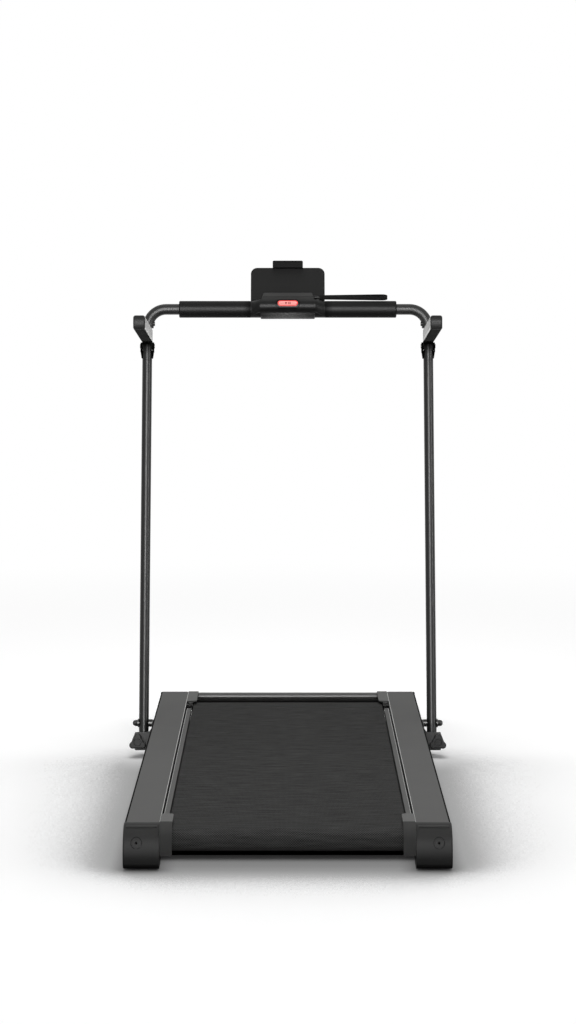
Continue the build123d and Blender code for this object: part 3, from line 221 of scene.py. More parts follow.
def rangeOf(tree, value, low, high, start=0.0, end=1.0, kind="LINEAR"):
    spread = addNode(tree, "ShaderNodeMapRange", interpolation_type=kind)
    setInputs(spread, **{"From Min": start, "From Max": end, "To Min": low, "To Max": high})
    tree.links.new(value, spread.inputs["Value"])
    return spread.outputs["Result"]


def ownPlace(tree):  # a place on the piece, in its own metres
    return addNode(tree, "ShaderNodeTexCoord").outputs["Object"]


def placeParts(tree):  # its X, Y and Z
    split = addNode(tree, "ShaderNodeSeparateXYZ")
    tree.links.new(ownPlace(tree), split.inputs[0])
    return split.outputs


def paleRays(tree):  # 1 where the camera, gloss or glass looks at the room
    path = addNode(tree, "ShaderNodeLightPath")
    seen = maths(tree, "MAXIMUM", path.outputs["Is Camera Ray"], path.outputs["Is Glossy Ray"])
    return maths(tree, "MAXIMUM", seen, path.outputs["Is Transmission Ray"])


def makeWorld():
    world = bpy.data.worlds.new("room")
    bpy.context.scene.world = world
    world.use_nodes = True
    tree = world.node_tree
    background = tree.nodes["Background"]
    background.inputs["Color"].default_value = (1, 1, 1, 1)
    strength = rangeOf(tree, paleRays(tree), roomSet["ambient"], 1)
    tree.links.new(strength, background.inputs["Strength"])


def makeFloor():  # paints a shadow near the deck into its colour and fades to white towards its rim
    deselectAll()
    bpy.ops.mesh.primitive_plane_add(size=roomSet["floorSize"], location=(0, 0, 0))
    floor = newPiece("floor")
    material = bpy.data.materials.new("paleFloor")
    material.use_nodes = True
    tree = material.node_tree
    shader = tree.nodes["Principled BSDF"]
    setInputs(shader, **{"Specular IOR Level": 0, "Roughness": 0.8})
    # painted shadow: occlusion by the deck darkens the floor's colour, fading out by depth
    openSky = addNode(tree, "ShaderNodeAmbientOcclusion", samples=roomSet["shadeSamples"])
    openSky.inputs["Distance"].default_value = roomSet["shadeReach"]
    depth = placeParts(tree)["Y"]
    ahead = rangeOf(tree, depth, 0, 1, roomSet["shadeFull"], roomSet["shadeStop"], "SMOOTHSTEP")
    dark = maths(tree, "POWER", openSky.outputs["AO"], roomSet["shadePower"])
    faded = maths(tree, "MULTIPLY", ahead, roomSet["shadeLeft"])
    shade = maths(tree, "MAXIMUM", dark, faded)
    tone = mixColour(tree, shade, roomSet["shadeColour"], roomSet["floorColour"])
    tree.links.new(tone, shader.inputs["Base Color"])
    pale = paleRays(tree)
    lift = addNode(tree, "ShaderNodeEmission")
    # painted contact shadow: the floor's lift is cut close under the parts
    contact = addNode(tree, "ShaderNodeAmbientOcclusion", samples=roomSet["shadeSamples"])
    contact.inputs["Distance"].default_value = roomSet["contactReach"]
    lifted = maths(tree, "MULTIPLY", pale, roomSet["floorLift"])
    tree.links.new(maths(tree, "MULTIPLY", lifted, contact.outputs["AO"]), lift.inputs["Strength"])
    near = addNode(tree, "ShaderNodeAddShader")
    tree.links.new(shader.outputs[0], near.inputs[0])
    tree.links.new(lift.outputs[0], near.inputs[1])
    reach = addNode(tree, "ShaderNodeVectorMath", operation="LENGTH")
    tree.links.new(ownPlace(tree), reach.inputs[0])
    rim = rangeOf(
        tree, reach.outputs["Value"], 0, 1, roomSet["rimStart"], roomSet["rimEnd"], "SMOOTHSTEP"
    )
    fade = maths(tree, "MULTIPLY", rim, pale)
    white = addNode(tree, "ShaderNodeEmission")
    mixed = addNode(tree, "ShaderNodeMixShader")
    tree.links.new(fade, mixed.inputs[0])
    tree.links.new(near.outputs[0], mixed.inputs[1])
    tree.links.new(white.outputs[0], mixed.inputs[2])
    tree.links.new(mixed.outputs[0], tree.nodes["Material Output"].inputs["Surface"])
    floor.data.materials.append(material)


def makeLamps():
    for lamp in roomSet["lamps"]:
        data = bpy.data.lights.new(lamp["name"], "AREA")
        data.shape = "RECTANGLE"
        data.size, data.size_y = lamp["size"]
        data.energy = lamp["power"]
        light = bpy.data.objects.new(lamp["name"], data)
        light.location = lamp["place"]
        aim = Vector(lamp["aim"]) - light.location
        light.rotation_euler = aim.to_track_quat("-Z", "Y").to_euler()
        light.visible_glossy = lamp["mirrored"]
        light.visible_diffuse = lamp["lit"]
        bpy.context.scene.collection.objects.link(light)


makeWorld()
makeFloor()
makeLamps()
print("camera and room ready")


# Shared surface effects

def startGroup(name, inputs, outputs):
    group = bpy.data.node_groups.new(name, "ShaderNodeTree")
    for label, value in inputs:
        kind = "NodeSocketFloat" if isinstance(value, (int, float)) else "NodeSocketVector"
        socket = group.interface.new_socket(label, in_out="INPUT", socket_type=kind)
        socket.default_value = value
    for label in outputs:
        group.interface.new_socket(label, in_out="OUTPUT", socket_type="NodeSocketFloat")
    return group, addNode(group, "NodeGroupInput"), addNode(group, "NodeGroupOutput")


def makeMouldGrain():  # fine moulded or sprayed texture, and a slow drift of tone
    group, given, result = startGroup(
        "mouldGrain", [("Scale", 1500), ("Stretch", (1, 1, 1))], ["Height", "Drift"]
    )
    place = ownPlace(group)
    scaled = addNode(group, "ShaderNodeVectorMath", operation="MULTIPLY")
    group.links.new(place, scaled.inputs[0])
    group.links.new(given.outputs["Stretch"], scaled.inputs[1])
    fine = addNode(group, "ShaderNodeTexNoise")
    setInputs(fine, Detail=3, Roughness=0.6)
    group.links.new(scaled.outputs[0], fine.inputs["Vector"])
    group.links.new(given.outputs["Scale"], fine.inputs["Scale"])
    group.links.new(fine.outputs[0], result.inputs["Height"])
    slow = addNode(group, "ShaderNodeTexNoise")
    setInputs(slow, Scale=11, Detail=2)
    group.links.new(place, slow.inputs["Vector"])
    group.links.new(slow.outputs[0], result.inputs["Drift"])
    return group


def makeEdgeRub():  # where an edge has been rubbed by hands and feet
    group, given, result = startGroup("edgeRub", [("Radius", 0.0008), ("Gain", 6)], ["Mask"])
    rounded = addNode(group, "ShaderNodeBevel", samples=4)
    group.links.new(given.outputs["Radius"], rounded.inputs["Radius"])
    facing = addNode(group, "ShaderNodeNewGeometry")
    same = addNode(group, "ShaderNodeVectorMath", operation="DOT_PRODUCT")
    group.links.new(rounded.outputs[0], same.inputs[0])
    group.links.new(facing.outputs["Normal"], same.inputs[1])
    off = maths(group, "SUBTRACT", 1, same.outputs["Value"])
    gained = maths(group, "MULTIPLY", off, given.outputs["Gain"], clamp=True)
    patches = addNode(group, "ShaderNodeTexNoise")
    setInputs(patches, Scale=60, Detail=3)
    group.links.new(ownPlace(group), patches.inputs["Vector"])
    group.links.new(maths(group, "MULTIPLY", gained, patches.outputs[0], clamp=True), result.inputs["Mask"])
    return group


streakScale = (17, 165, 1)  # streaks run across the belt


def makeWeave():  # diagonal threads crossing over each other, in the piece's own metres
    group, given, result = startGroup(
        "weave", [("Place", (0, 0, 0)), ("Pitch", 0.003)], ["Height", "Thread"]
    )
    split = addNode(group, "ShaderNodeSeparateXYZ")
    group.links.new(given.outputs["Place"], split.inputs[0])
    turns = maths(group, "DIVIDE", math.pi, given.outputs["Pitch"])
    rising = maths(group, "ADD", split.outputs["X"], split.outputs["Y"])
    falling = maths(group, "SUBTRACT", split.outputs["X"], split.outputs["Y"])
    warp = maths(group, "ABSOLUTE", maths(group, "SINE", maths(group, "MULTIPLY", rising, turns)))
    weft = maths(group, "ABSOLUTE", maths(group, "SINE", maths(group, "MULTIPLY", falling, turns)))
    group.links.new(maths(group, "MULTIPLY", warp, weft), result.inputs["Height"])
    threads = addNode(group, "ShaderNodeTexNoise")
    setInputs(threads, Scale=1, Detail=4, Roughness=0.7)
    stretched = addNode(group, "ShaderNodeVectorMath", operation="MULTIPLY")
    stretched.inputs[1].default_value = streakScale
    group.links.new(given.outputs["Place"], stretched.inputs[0])
    group.links.new(stretched.outputs[0], threads.inputs["Vector"])
    group.links.new(threads.outputs[0], result.inputs["Thread"])
    return group


mouldGrain = makeMouldGrain()
edgeRub = makeEdgeRub()
weave = makeWeave()
print("surface effects ready")


# Finishes

finishSet = {
    "driftLow": 0.86,  # the tone wanders between these shares of itself
    "driftHigh": 1.14,
    "roughSpread": 0.05,
    "bump": 0.35,
    "fineGrain": 0.00006,
    "warmth": 0.985,
}


def startMaterial(name, **sockets):
    material = bpy.data.materials.new(name)
    material.use_nodes = True
    shader = setInputs(material.node_tree.nodes["Principled BSDF"], **sockets)
    return material, material.node_tree, shader


def useGroup(tree, group, **values):
    return setInputs(addNode(tree, "ShaderNodeGroup", node_tree=group), **values)


def grey(value):
    return (value, value, value * finishSet["warmth"], 1)


def bumpFrom(tree, shader, height, strength, distance):
    bump = addNode(tree, "ShaderNodeBump")
    setInputs(bump, Strength=strength, Distance=distance)
    tree.links.new(height, bump.inputs["Height"])
    tree.links.new(bump.outputs[0], shader.inputs["Normal"])


def spreadRoughness(tree, shader, texture, rough):  # a little smoother here, a little rougher there
    spread = finishSet["roughSpread"]
    varied = rangeOf(tree, texture.outputs["Drift"], rough - spread, rough + spread)
    tree.links.new(varied, shader.inputs["Roughness"])


def driftTo(tree, texture, share, tone, other):  # the tone, mixed a little with another in slow patches
    return mixColour(tree, maths(tree, "MULTIPLY", texture.outputs["Drift"], share), tone, other)


def coatedFinish(name, tone, rub, rough, gloss, grain, depth, stretch=(1, 1, 1), metallic=0.0):
    material, tree, shader = startMaterial(name, **{"Specular IOR Level": gloss, "Metallic": metallic})
    texture = useGroup(tree, mouldGrain, Scale=grain, Stretch=stretch)
    worn = useGroup(tree, edgeRub)
    low = tone if isinstance(tone, tuple) else grey(tone)
    darker = [c * finishSet["driftLow"] for c in low[:3]] + [1]
    lighter = [c * finishSet["driftHigh"] for c in low[:3]] + [1]
    drifted = mixColour(tree, texture.outputs["Drift"], darker, lighter)
    tree.links.new(mixColour(tree, worn.outputs["Mask"], drifted, grey(rub)), shader.inputs["Base Color"])
    spreadRoughness(tree, shader, texture, rough)
    bumpFrom(tree, shader, texture.outputs["Height"], finishSet["bump"], depth)
    return material


# Each finish: tone, tone where rubbed, roughness, gloss, grain scale, grain depth and grain stretch
# bare metal edge, painted brighter as a highlight
bareEdgeAndHighlight = coatedFinish("bareEdgeAndHighlight", 0.42, 0.6, 0.5, 0.1, 1800, 0.00003, (1, 0.02, 1), metallic=0.25)
coverPlastic = coatedFinish("coverPlastic", 0.012, 0.02, 0.7, 0.0, 1300, 0.0001)
armPlastic = coatedFinish("armPlastic", 0.014, 0.03, 0.42, 0.08, 1500, 0.00008)
sidePlastic = coatedFinish("sidePlastic", 0.037, 0.045, 0.5, 0.0, 1500, 0.00008)
barrelPlastic = coatedFinish("barrelPlastic", 0.012, 0.016, 0.38, 0.1, 1500, 0.00006)
hingePlastic = coatedFinish("hingePlastic", 0.005, 0.012, 0.6, 0.0, 1500, 0.00006)
restPlastic = coatedFinish("restPlastic", 0.018, 0.03, 0.5, 0.06, 1500, 0.00006)
clipPlastic = coatedFinish("clipPlastic", 0.008, 0.02, 0.5, 0.06, 1500, 0.00006)
knobPlastic = coatedFinish("knobPlastic", 0.04, 0.08, 0.45, 0.1, 1300, 0.0001)
tubePaint = coatedFinish("tubePaint", 0.012, 0.03, 0.36, 0.25, 900, 0.00002)
barPaint = coatedFinish("barPaint", 0.016, 0.04, 0.4, 0.3, 900, 0.00002)
crossBarPaint = coatedFinish("crossBarPaint", 0.11, 0.1, 0.3, 0.2, 900, 0.00002)
# painted shade in seams and key holes
seamShade = coatedFinish("seamShade", 0.004, 0.008, 0.8, 0.0, 1500, 0.00003)
bracketPaint = coatedFinish("bracketPaint", 0.1, 0.18, 0.45, 0.1, 1100, 0.0001)
padPlastic = coatedFinish("padPlastic", 0.02, 0.03, 0.42, 0.12, 1500, 0.00006)
softRubber = coatedFinish("softRubber", 0.012, 0.03, 0.8, 0.03, 900, 0.0002)
zincSteel = coatedFinish("zincSteel", 0.5, 0.7, 0.35, 0.5, 1600, 0.00005, (0.05, 1, 1), metallic=1.0)
darkNickel = coatedFinish("darkNickel", 0.04, 0.12, 0.35, 0.5, 1600, 0.00004, metallic=1.0)
motorIron = coatedFinish("motorIron", 0.14, 0.3, 0.5, 0.4, 500, 0.0002, (1, 0.1, 0.1), metallic=0.6)
boardWood = coatedFinish("boardWood", 0.03, 0.06, 0.4, 0.2, 300, 0.0001, (0.1, 1, 1))
solderMask = coatedFinish("solderMask", (0.02, 0.09, 0.035, 1), 0.1, 0.4, 0.4, 800, 0.00005)
copperWire = coatedFinish(
    "copperWire", (0.55, 0.24, 0.09, 1), 0.5, 0.35, 0.5, 1200, 0.0003, (1, 1, 0.2), metallic=0.9
)
markWhite = coatedFinish("markWhite", 0.7, 0.8, 0.5, 0.1, 900, 0.00002)
glyphRed = coatedFinish("glyphRed", (0.3, 0.005, 0.005, 1), 0.1, 0.5, 0.1, 900, 0.00002)


# Finishes with a zone of another tone: painted shade on the rail edge, the cap and the guard nose, and a painted
# highlight on the inlay

zoneSet = {  # where each zone starts and ends, in metres, and how far the tone drifts
    "drift": 0.2,
    "driftTone": 0.6,
    "grain": 1400,
    "fadedGrain": 900,
    "railOuter": (0.2788, 0.2798),
    "railUpper": (0.066, 0.068),
    "guardNose": (-0.6045, -0.6025),
    "panelStrip": (0.9015, 0.9022),
    "inlayEdge": (0.812, 0.8135),
    "capFoot": (0.008, 0.062),
    "neckHead": (0.778, 0.801),
    "gripRoot": (0.077, 0.095),
}


def makeZonedFinish(name, zoneOf, toneOutside, toneInside, rub, rough, gloss, stretch):
    material, tree, shader = startMaterial(name, **{"Specular IOR Level": gloss})
    texture = useGroup(tree, mouldGrain, Scale=zoneSet["grain"], Stretch=stretch)
    worn = useGroup(tree, edgeRub)
    zone = zoneOf(tree, placeParts(tree))
    tone = mixColour(tree, zone, grey(toneOutside), grey(toneInside))
    drifted = driftTo(tree, texture, zoneSet["drift"], tone, grey(toneOutside * zoneSet["driftTone"]))
    tree.links.new(mixColour(tree, worn.outputs["Mask"], drifted, grey(rub)), shader.inputs["Base Color"])
    spreadRoughness(tree, shader, texture, rough)
    bumpFrom(tree, shader, texture.outputs["Height"], finishSet["bump"], finishSet["fineGrain"])
    return material


def heightAlong(tree, place):  # height along the leaning uprights, in metres from their pivot
    depthPart = maths(tree, "MULTIPLY", maths(tree, "SUBTRACT", place["Y"], pivot.y), along.y)
    risePart = maths(tree, "MULTIPLY", maths(tree, "SUBTRACT", place["Z"], pivot.z), along.z)
    return maths(tree, "ADD", depthPart, risePart)


def railEdgeShadeZone(tree, place):  # the rounded outer edge of the rail, darkened with painted shade
    outer = rangeOf(tree, maths(tree, "ABSOLUTE", place["X"]), 0, 1, *zoneSet["railOuter"])
    upper = rangeOf(tree, place["Z"], 0, 1, *zoneSet["railUpper"])
    return maths(tree, "MULTIPLY", outer, upper)


def guardNoseShadeZone(tree, place):  # the guard's curved nose, darker than its flat flange: painted shade
    return rangeOf(tree, place["Y"], 1, 0, *zoneSet["guardNose"])


def panelStripZone(tree, place):  # the display's lower strip
    return rangeOf(tree, heightAlong(tree, place), 1, 0, *zoneSet["panelStrip"])


def inlayEdgeHighlightZone(tree, place):  # the inlay's lower edge, brightened by a painted highlight on its chamfer
    return rangeOf(tree, heightAlong(tree, place), 1, 0, *zoneSet["inlayEdge"])


def capFootShadeZone(tree, place):  # the cap's face, darker towards the floor: painted shade
    return rangeOf(tree, place["Z"], 1, 0, *zoneSet["capFoot"])


# painted shade: the rail's outer edge is darkened in its colour
railPaintEdgeShade = makeZonedFinish("railPaintEdgeShade", railEdgeShadeZone, 0.14, 0.006, 0.12, 0.6, 0.0, (1, 0.05, 1))
# painted shade: the cap's colour darkens towards the floor
capPlasticFootShade = makeZonedFinish("capPlasticFootShade", capFootShadeZone, 0.042, 0.004, 0.05, 0.45, 0.04, (1, 1, 1))
# painted shade: the guard's nose is darkened in its colour
guardPlasticNoseShade = makeZonedFinish("guardPlasticNoseShade", guardNoseShadeZone, 0.165, 0.06, 0.1, 0.5, 0.0, (1, 1, 1))
smokedPanel = makeZonedFinish("smokedPanel", panelStripZone, 0.044, 0.028, 0.06, 0.45, 0.06, (1, 1, 1))
# painted highlight: the inlay's lower edge is brightened in its colour
silverInlayEdgeHighlight = makeZonedFinish("silverInlayEdgeHighlight", inlayEdgeHighlightZone, 0.55, 0.98, 0.8, 0.4, 0.2, (1, 0.03, 0.3))


def makeShadeFadedFinish(name, zoneOf, tone, toneFaded, rough, sheen):  # painted shade: coat and tone fade out inside the zone
    material, tree, shader = startMaterial(
        name, **{"Specular IOR Level": 0.0, "Roughness": 0.6, "Coat Roughness": rough}
    )
    texture = useGroup(tree, mouldGrain, Scale=zoneSet["fadedGrain"])
    zone = zoneOf(tree, placeParts(tree))
    toned = mixColour(tree, zone, grey(tone), grey(toneFaded))
    drifted = driftTo(tree, texture, zoneSet["drift"], toned, grey(toneFaded))
    tree.links.new(drifted, shader.inputs["Base Color"])
    tree.links.new(rangeOf(tree, zone, sheen, 0), shader.inputs["Coat Weight"])
    bumpFrom(tree, shader, texture.outputs["Height"], finishSet["bump"], finishSet["fineGrain"])
    return material


def neckHeadShadeZone(tree, place):  # the neck's head, darkened with painted shade under the arm
    return rangeOf(tree, heightAlong(tree, place), 0, 1, *zoneSet["neckHead"])


def gripRootShadeZone(tree, place):  # the grip's inner end, where it runs into the console, darkened with painted shade
    return rangeOf(tree, maths(tree, "ABSOLUTE", place["X"]), 1, 0, *zoneSet["gripRoot"])


neckPaintHeadShade = makeShadeFadedFinish("neckPaintHeadShade", neckHeadShadeZone, 0.012, 0.003, 0.36, 0.5)
foamSkinRootShade = makeShadeFadedFinish("foamSkinRootShade", gripRootShadeZone, 0.011, 0.009, 0.4, 0.2)


# Finishes of one piece each

glowSet = {"rough": 0.4, "gloss": 0.1, "glow": 0.35, "grain": 900, "bump": 0.2, "depth": 0.00003}
bellySet = {
    "gloss": 0.2,
    "grain": 1500,
    "cells": 620,
    "scatter": 0.55,
    "webEdges": (0.25, 0.6),
    "tones": (0.02, 0.22),  # in the holes, dark as painted shade, and on the web between them
    "drift": 0.6,
    "driftTone": 0.05,
    "endShadeReach": (0.012, 0.054),  # metres from the middle, where painted shade darkens the sheet towards its ends
    "endShadeShare": 0.85,
    "endShadeTone": 0.012,
    "rough": (0.6, 0.35),
    "bump": 0.6,
    "depth": 0.0003,
}
fabricSet = {
    "rough": 0.85,
    "pitch": 0.0044,
    "grain": 500,
    "stretch": (0.05, 1, 1),
    "streakEdges": (0.3, 0.7),
    "streakTones": (0.016, 0.058),
    "raisedEdges": (0.35, 0.85),
    "raisedShare": 0.8,
    "raisedTone": 0.1,
    "drift": 0.25,
    "driftTone": 0.04,
    "bump": 0.4,
    "depth": 0.0003,
}
webbingSet = {
    "gloss": 0.03, "rough": 0.85, "pitch": 0.0012, "tones": (0.012, 0.032), "bump": 0.5, "depth": 0.0002,
}


def makeGlowingRed(name, dim, bright):  # red plastic with a painted glow: it gives off light, though no lamp is behind it
    lit = glowSet
    material, tree, shader = startMaterial(name, **{
        "Specular IOR Level": lit["gloss"], "Roughness": lit["rough"], "Emission Strength": lit["glow"],
    })
    texture = useGroup(tree, mouldGrain, Scale=lit["grain"])
    shade = mixColour(tree, texture.outputs["Drift"], dim, bright)
    tree.links.new(shade, shader.inputs["Base Color"])
    tree.links.new(shade, shader.inputs["Emission Color"])
    bumpFrom(tree, shader, texture.outputs["Height"], lit["bump"], lit["depth"])
    return material


def makeBellyMesh():  # fine pierced sheet with pale specks between holes of painted shade, and painted shade towards its ends
    b = bellySet
    material, tree, shader = startMaterial("bellyMesh", **{"Specular IOR Level": b["gloss"]})
    texture = useGroup(tree, mouldGrain, Scale=b["grain"])
    cells = addNode(tree, "ShaderNodeTexVoronoi")
    setInputs(cells, Scale=b["cells"], Randomness=b["scatter"])
    tree.links.new(ownPlace(tree), cells.inputs["Vector"])
    web = rangeOf(tree, cells.outputs["Distance"], 0, 1, *b["webEdges"])
    tone = mixColour(tree, web, *map(grey, b["tones"]))
    drifted = driftTo(tree, texture, b["drift"], tone, grey(b["driftTone"]))
    # painted shade towards the sheet's ends
    side = maths(tree, "ABSOLUTE", placeParts(tree)["X"])
    end = rangeOf(tree, side, 0, b["endShadeShare"], *b["endShadeReach"])
    tree.links.new(mixColour(tree, end, drifted, grey(b["endShadeTone"])), shader.inputs["Base Color"])
    tree.links.new(rangeOf(tree, web, *b["rough"]), shader.inputs["Roughness"])
    bumpFrom(tree, shader, web, b["bump"], b["depth"])
    return material


def makeBeltFabric():  # rubber belt with a fine diagonal weave and streaks across it
    f = fabricSet
    material, tree, shader = startMaterial(
        "beltFabric", **{"Specular IOR Level": 0.0, "Roughness": f["rough"]}
    )
    place = addNode(tree, "ShaderNodeUVMap", uv_map="loop")
    threads = useGroup(tree, weave, Pitch=f["pitch"])
    tree.links.new(place.outputs[0], threads.inputs["Place"])
    texture = useGroup(tree, mouldGrain, Scale=f["grain"], Stretch=f["stretch"])
    streaks = rangeOf(tree, threads.outputs["Thread"], 0, 1, *f["streakEdges"])
    base = mixColour(tree, streaks, *map(grey, f["streakTones"]))
    pattern = rangeOf(tree, threads.outputs["Height"], 0, f["raisedShare"], *f["raisedEdges"])
    raised = mixColour(tree, pattern, base, grey(f["raisedTone"]))
    drifted = driftTo(tree, texture, f["drift"], raised, grey(f["driftTone"]))
    tree.links.new(drifted, shader.inputs["Base Color"])
    bumpFrom(tree, shader, threads.outputs["Height"], f["bump"], f["depth"])
    return material


def makeStrapWebbing():
    w = webbingSet
    material, tree, shader = startMaterial(
        "strapWebbing", **{"Specular IOR Level": w["gloss"], "Roughness": w["rough"]}
    )
    turned = addNode(tree, "ShaderNodeMapping")
    turned.inputs["Rotation"].default_value = (math.radians(90), 0, 0)
    tree.links.new(ownPlace(tree), turned.inputs["Vector"])
    threads = useGroup(tree, weave, Pitch=w["pitch"])
    tree.links.new(turned.outputs[0], threads.inputs["Place"])
    tone = mixColour(tree, threads.outputs["Height"], *map(grey, w["tones"]))
    tree.links.new(tone, shader.inputs["Base Color"])
    bumpFrom(tree, shader, threads.outputs["Height"], w["bump"], w["depth"])
    return material


buttonRed = makeGlowingRed("buttonRed", (0.86, 0.3, 0.28, 1), (0.98, 0.4, 0.37, 1))
rimRed = makeGlowingRed("rimRed", (0.85, 0.012, 0.012, 1), (0.95, 0.03, 0.025, 1))
bellyMesh = makeBellyMesh()
beltFabric = makeBeltFabric()
strapWebbing = makeStrapWebbing()
print("finishes ready")

finishOfSlot = {
    "rail_aluminium": railPaintEdgeShade,
    "cap_plastic": capPlasticFootShade,
    "guard_plastic": guardPlasticNoseShade,
    "belt_rubber": beltFabric,
    "board_wood": boardWood,
    "rubber": softRubber,
    "steel": zincSteel,
    "dark_hardware": darkNickel,
    "black_steel": tubePaint,
    "bracket_steel": bracketPaint,
    "motor_core": motorIron,
    "winding_copper": copperWire,
    "black_plastic": armPlastic,
    "belly_plastic": bellyMesh,
    "inlay_silver": silverInlayEdgeHighlight,
    "foam": foamSkinRootShade,
    "display": smokedPanel,
    "button_red": buttonRed,
    "circuit_board": solderMask,
    "strap_webbing": strapWebbing,
}
finishOfNode = {  # pieces of one slot that differ a little in tone
    "front_cover": coverPlastic,
    "belly_pan": coverPlastic,
    "controller_box": coverPlastic,
    "console_housing": barrelPlastic,
    "handlebar_tube": barPaint,
    "front_bar": crossBarPaint,
    "side_arm_left": sidePlastic,
    "side_arm_right": sidePlastic,
    "hinge_clevis_left": hingePlastic,
    "hinge_clevis_right": hingePlastic,
    "button_bezel": barrelPlastic,
    "tablet_rest": restPlastic,
    "phone_clip": clipPlastic,
    "lock_knob_left": knobPlastic,
    "lock_knob_right": knobPlastic,
}
for part in frame["record"]["subparts"]:
    finish = finishOfNode.get(part["node"], finishOfSlot[part["material_slot"]])
    for place in nodes[part["node"]].material_slots:
        place.material = finish
print("frame pieces finished")


# Wrist strap: one flat webbing loop from the safety plug along the right grip and back

strapSet = {
    "width": 0.008,
    "gauge": 0.0018,
    "length": 0.2946,
    "plugPlace": (-1.5, 900.3),  # depth and height of the plug
    "tilt": 26,
    "route": [  # side, and distance across the loop
        (67, -1.9), (120, -4.3), (170, -6.6), (195, -7.7), (204, -7.4), (209, -4.4), (210.6, 0),
        (209, 4.4), (204, 7.4), (195, 7.7), (170, 6.6), (120, 4.3), (67, 1.9),
    ],
}


def strapPoint(x, run):
    depth, height = strapSet["plugPlace"]
    tilt = math.radians(strapSet["tilt"])
    return leanPoint(x, depth + run * math.cos(tilt), height + run * math.sin(tilt))


def makeWristStrap():
    points = [strapPoint(*place) for place in strapSet["route"]]
    line = bpy.data.curves.new("wristStrap", "CURVE")
    line.dimensions = "3D"
    line.twist_mode = "Z_UP"
    line.extrude = (strapSet["width"] - strapSet["gauge"]) / 2
    line.bevel_depth = strapSet["gauge"] / 2
    line.bevel_resolution = 3
    spline = line.splines.new("NURBS")
    spline.points.add(len(points) - 1)
    for point, place in zip(spline.points, points):
        point.co = (*place, 1)
    spline.order_u = 3
    spline.use_endpoint_u = True
    spline.resolution_u = 8
    strap = bpy.data.objects.new("wristStrap", line)
    bpy.context.scene.collection.objects.link(strap)
    line.materials.append(strapWebbing)
    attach(strap, "safety_plug")
    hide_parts("wrist_strap")


makeWristStrap()
print("wrist strap laid")


# Running belt: a strip turned round the drum and the roller, with its own metres as a map

beltSet = {
    "thickness": 0.0018,
    "turnSteps": 16,
    "across": 0.1,  # a longer edge runs across the belt
    "flatArea": 0.1,  # a larger face is one of the two flat runs
    "near": 1e-5,
    "merge": 1e-6,
}


def makeRunningBelt():
    low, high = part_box("running_belt")
    drum = Vector(joints["front_drum_spin"]["pos_m"])
    roller = Vector(joints["rear_roller_spin"]["pos_m"])
    top = high[2]
    drumRadius = top - drum.z
    rollerRadius = top - roller.z
    width = high[0] - low[0]
    deselectAll()
    middle = ((low[0] + high[0]) / 2, (drum.y + roller.y) / 2, top)
    bpy.ops.mesh.primitive_plane_add(size=1, location=middle)
    belt = newPiece("runningBelt")
    belt.scale = (width, drum.y - roller.y, 1)
    settle(belt)
    editPiece(belt)
    near = beltSet["near"]
    selectEdges(belt, lambda a, b: abs(a.y - drum.y) < near and abs(b.y - drum.y) < near)
    bpy.ops.mesh.spin(steps=beltSet["turnSteps"], angle=math.pi, center=drum, axis=(1, 0, 0))
    selectEdges(belt, lambda a, b: abs(a.y - roller.y) < near and abs(b.y - roller.y) < near)
    bpy.ops.mesh.spin(steps=beltSet["turnSteps"], angle=-math.pi, center=roller, axis=(1, 0, 0))
    ends = (drum.z - drumRadius, roller.z - rollerRadius)

    def isLowerEnd(a, b):
        level = any(abs(a.z - z) < near and abs(b.z - z) < near for z in ends)
        return level and abs(a.x - b.x) > beltSet["across"]

    selectEdges(belt, isLowerEnd)
    bpy.ops.mesh.bridge_edge_loops()
    bpy.ops.mesh.select_all(action="SELECT")
    bpy.ops.mesh.remove_doubles(threshold=beltSet["merge"])
    bpy.ops.mesh.normals_make_consistent(inside=False)
    bpy.ops.object.mode_set(mode="OBJECT")

    def distanceRound(place):  # metres along the loop from the roller's top
        if place.y >= drum.y - beltSet["merge"]:
            turn = math.atan2(place.y - drum.y, place.z - drum.z)
            return drum.y - roller.y + max(turn, 0) * drumRadius
        if place.y <= roller.y + beltSet["merge"]:
            turn = math.atan2(roller.y - place.y, place.z - roller.z)
            return -max(turn, 0) * rollerRadius
        return place.y - roller.y

    mesh = bmesh.new()
    mesh.from_mesh(belt.data)
    layer = mesh.loops.layers.uv.new("loop")
    for face in mesh.faces:
        under = face.calc_center_median().z < drum.z - drumRadius / 2
        flat = face.calc_area() > beltSet["flatArea"]
        for corner in face.loops:
            place = corner.vert.co
            run = roller.y - place.y if under and flat else distanceRound(place)
            corner[layer].uv = (place.x, run)
    mesh.to_mesh(belt.data)
    mesh.free()
    wall = belt.modifiers.new("wall", "SOLIDIFY")
    wall.thickness = beltSet["thickness"]
    wall.offset = -1
    applyAll(belt)
    finishPiece(belt, "deck", beltFabric)
    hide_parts("running_belt")


makeRunningBelt()
print("running belt laid")


# Rail trim: a black strip in each groove as painted shade, and the bright edges beside it, bare metal with a
# painted highlight

trimSet = {
    "grooveInner": 217,
    "grooveOuter": 221,
    "railTop": 76,
    "shadeStripTop": 74.2,
    "shadeStripFloor": 71,
    "railEdge": 1.1,  # width of the bright line on the rail, bare metal with a painted highlight
    "lipEdge": 0.7,
    "lineLift": 0.15,
    "rearEnd": -589,
    "guardEnd": -548,
    "gapRear": 413,
    "frontEnd": 589,
    "shadeStripGap": 0.3,
    "shadeStripTuck": 40,  # how far the shade strip runs under the guard
    "shadeStripBevel": 0.4,
    "endGap": 1,
    "lipDrop": 1,
    "lineSink": 0.1,
    "lineBevel": 0.04,
}


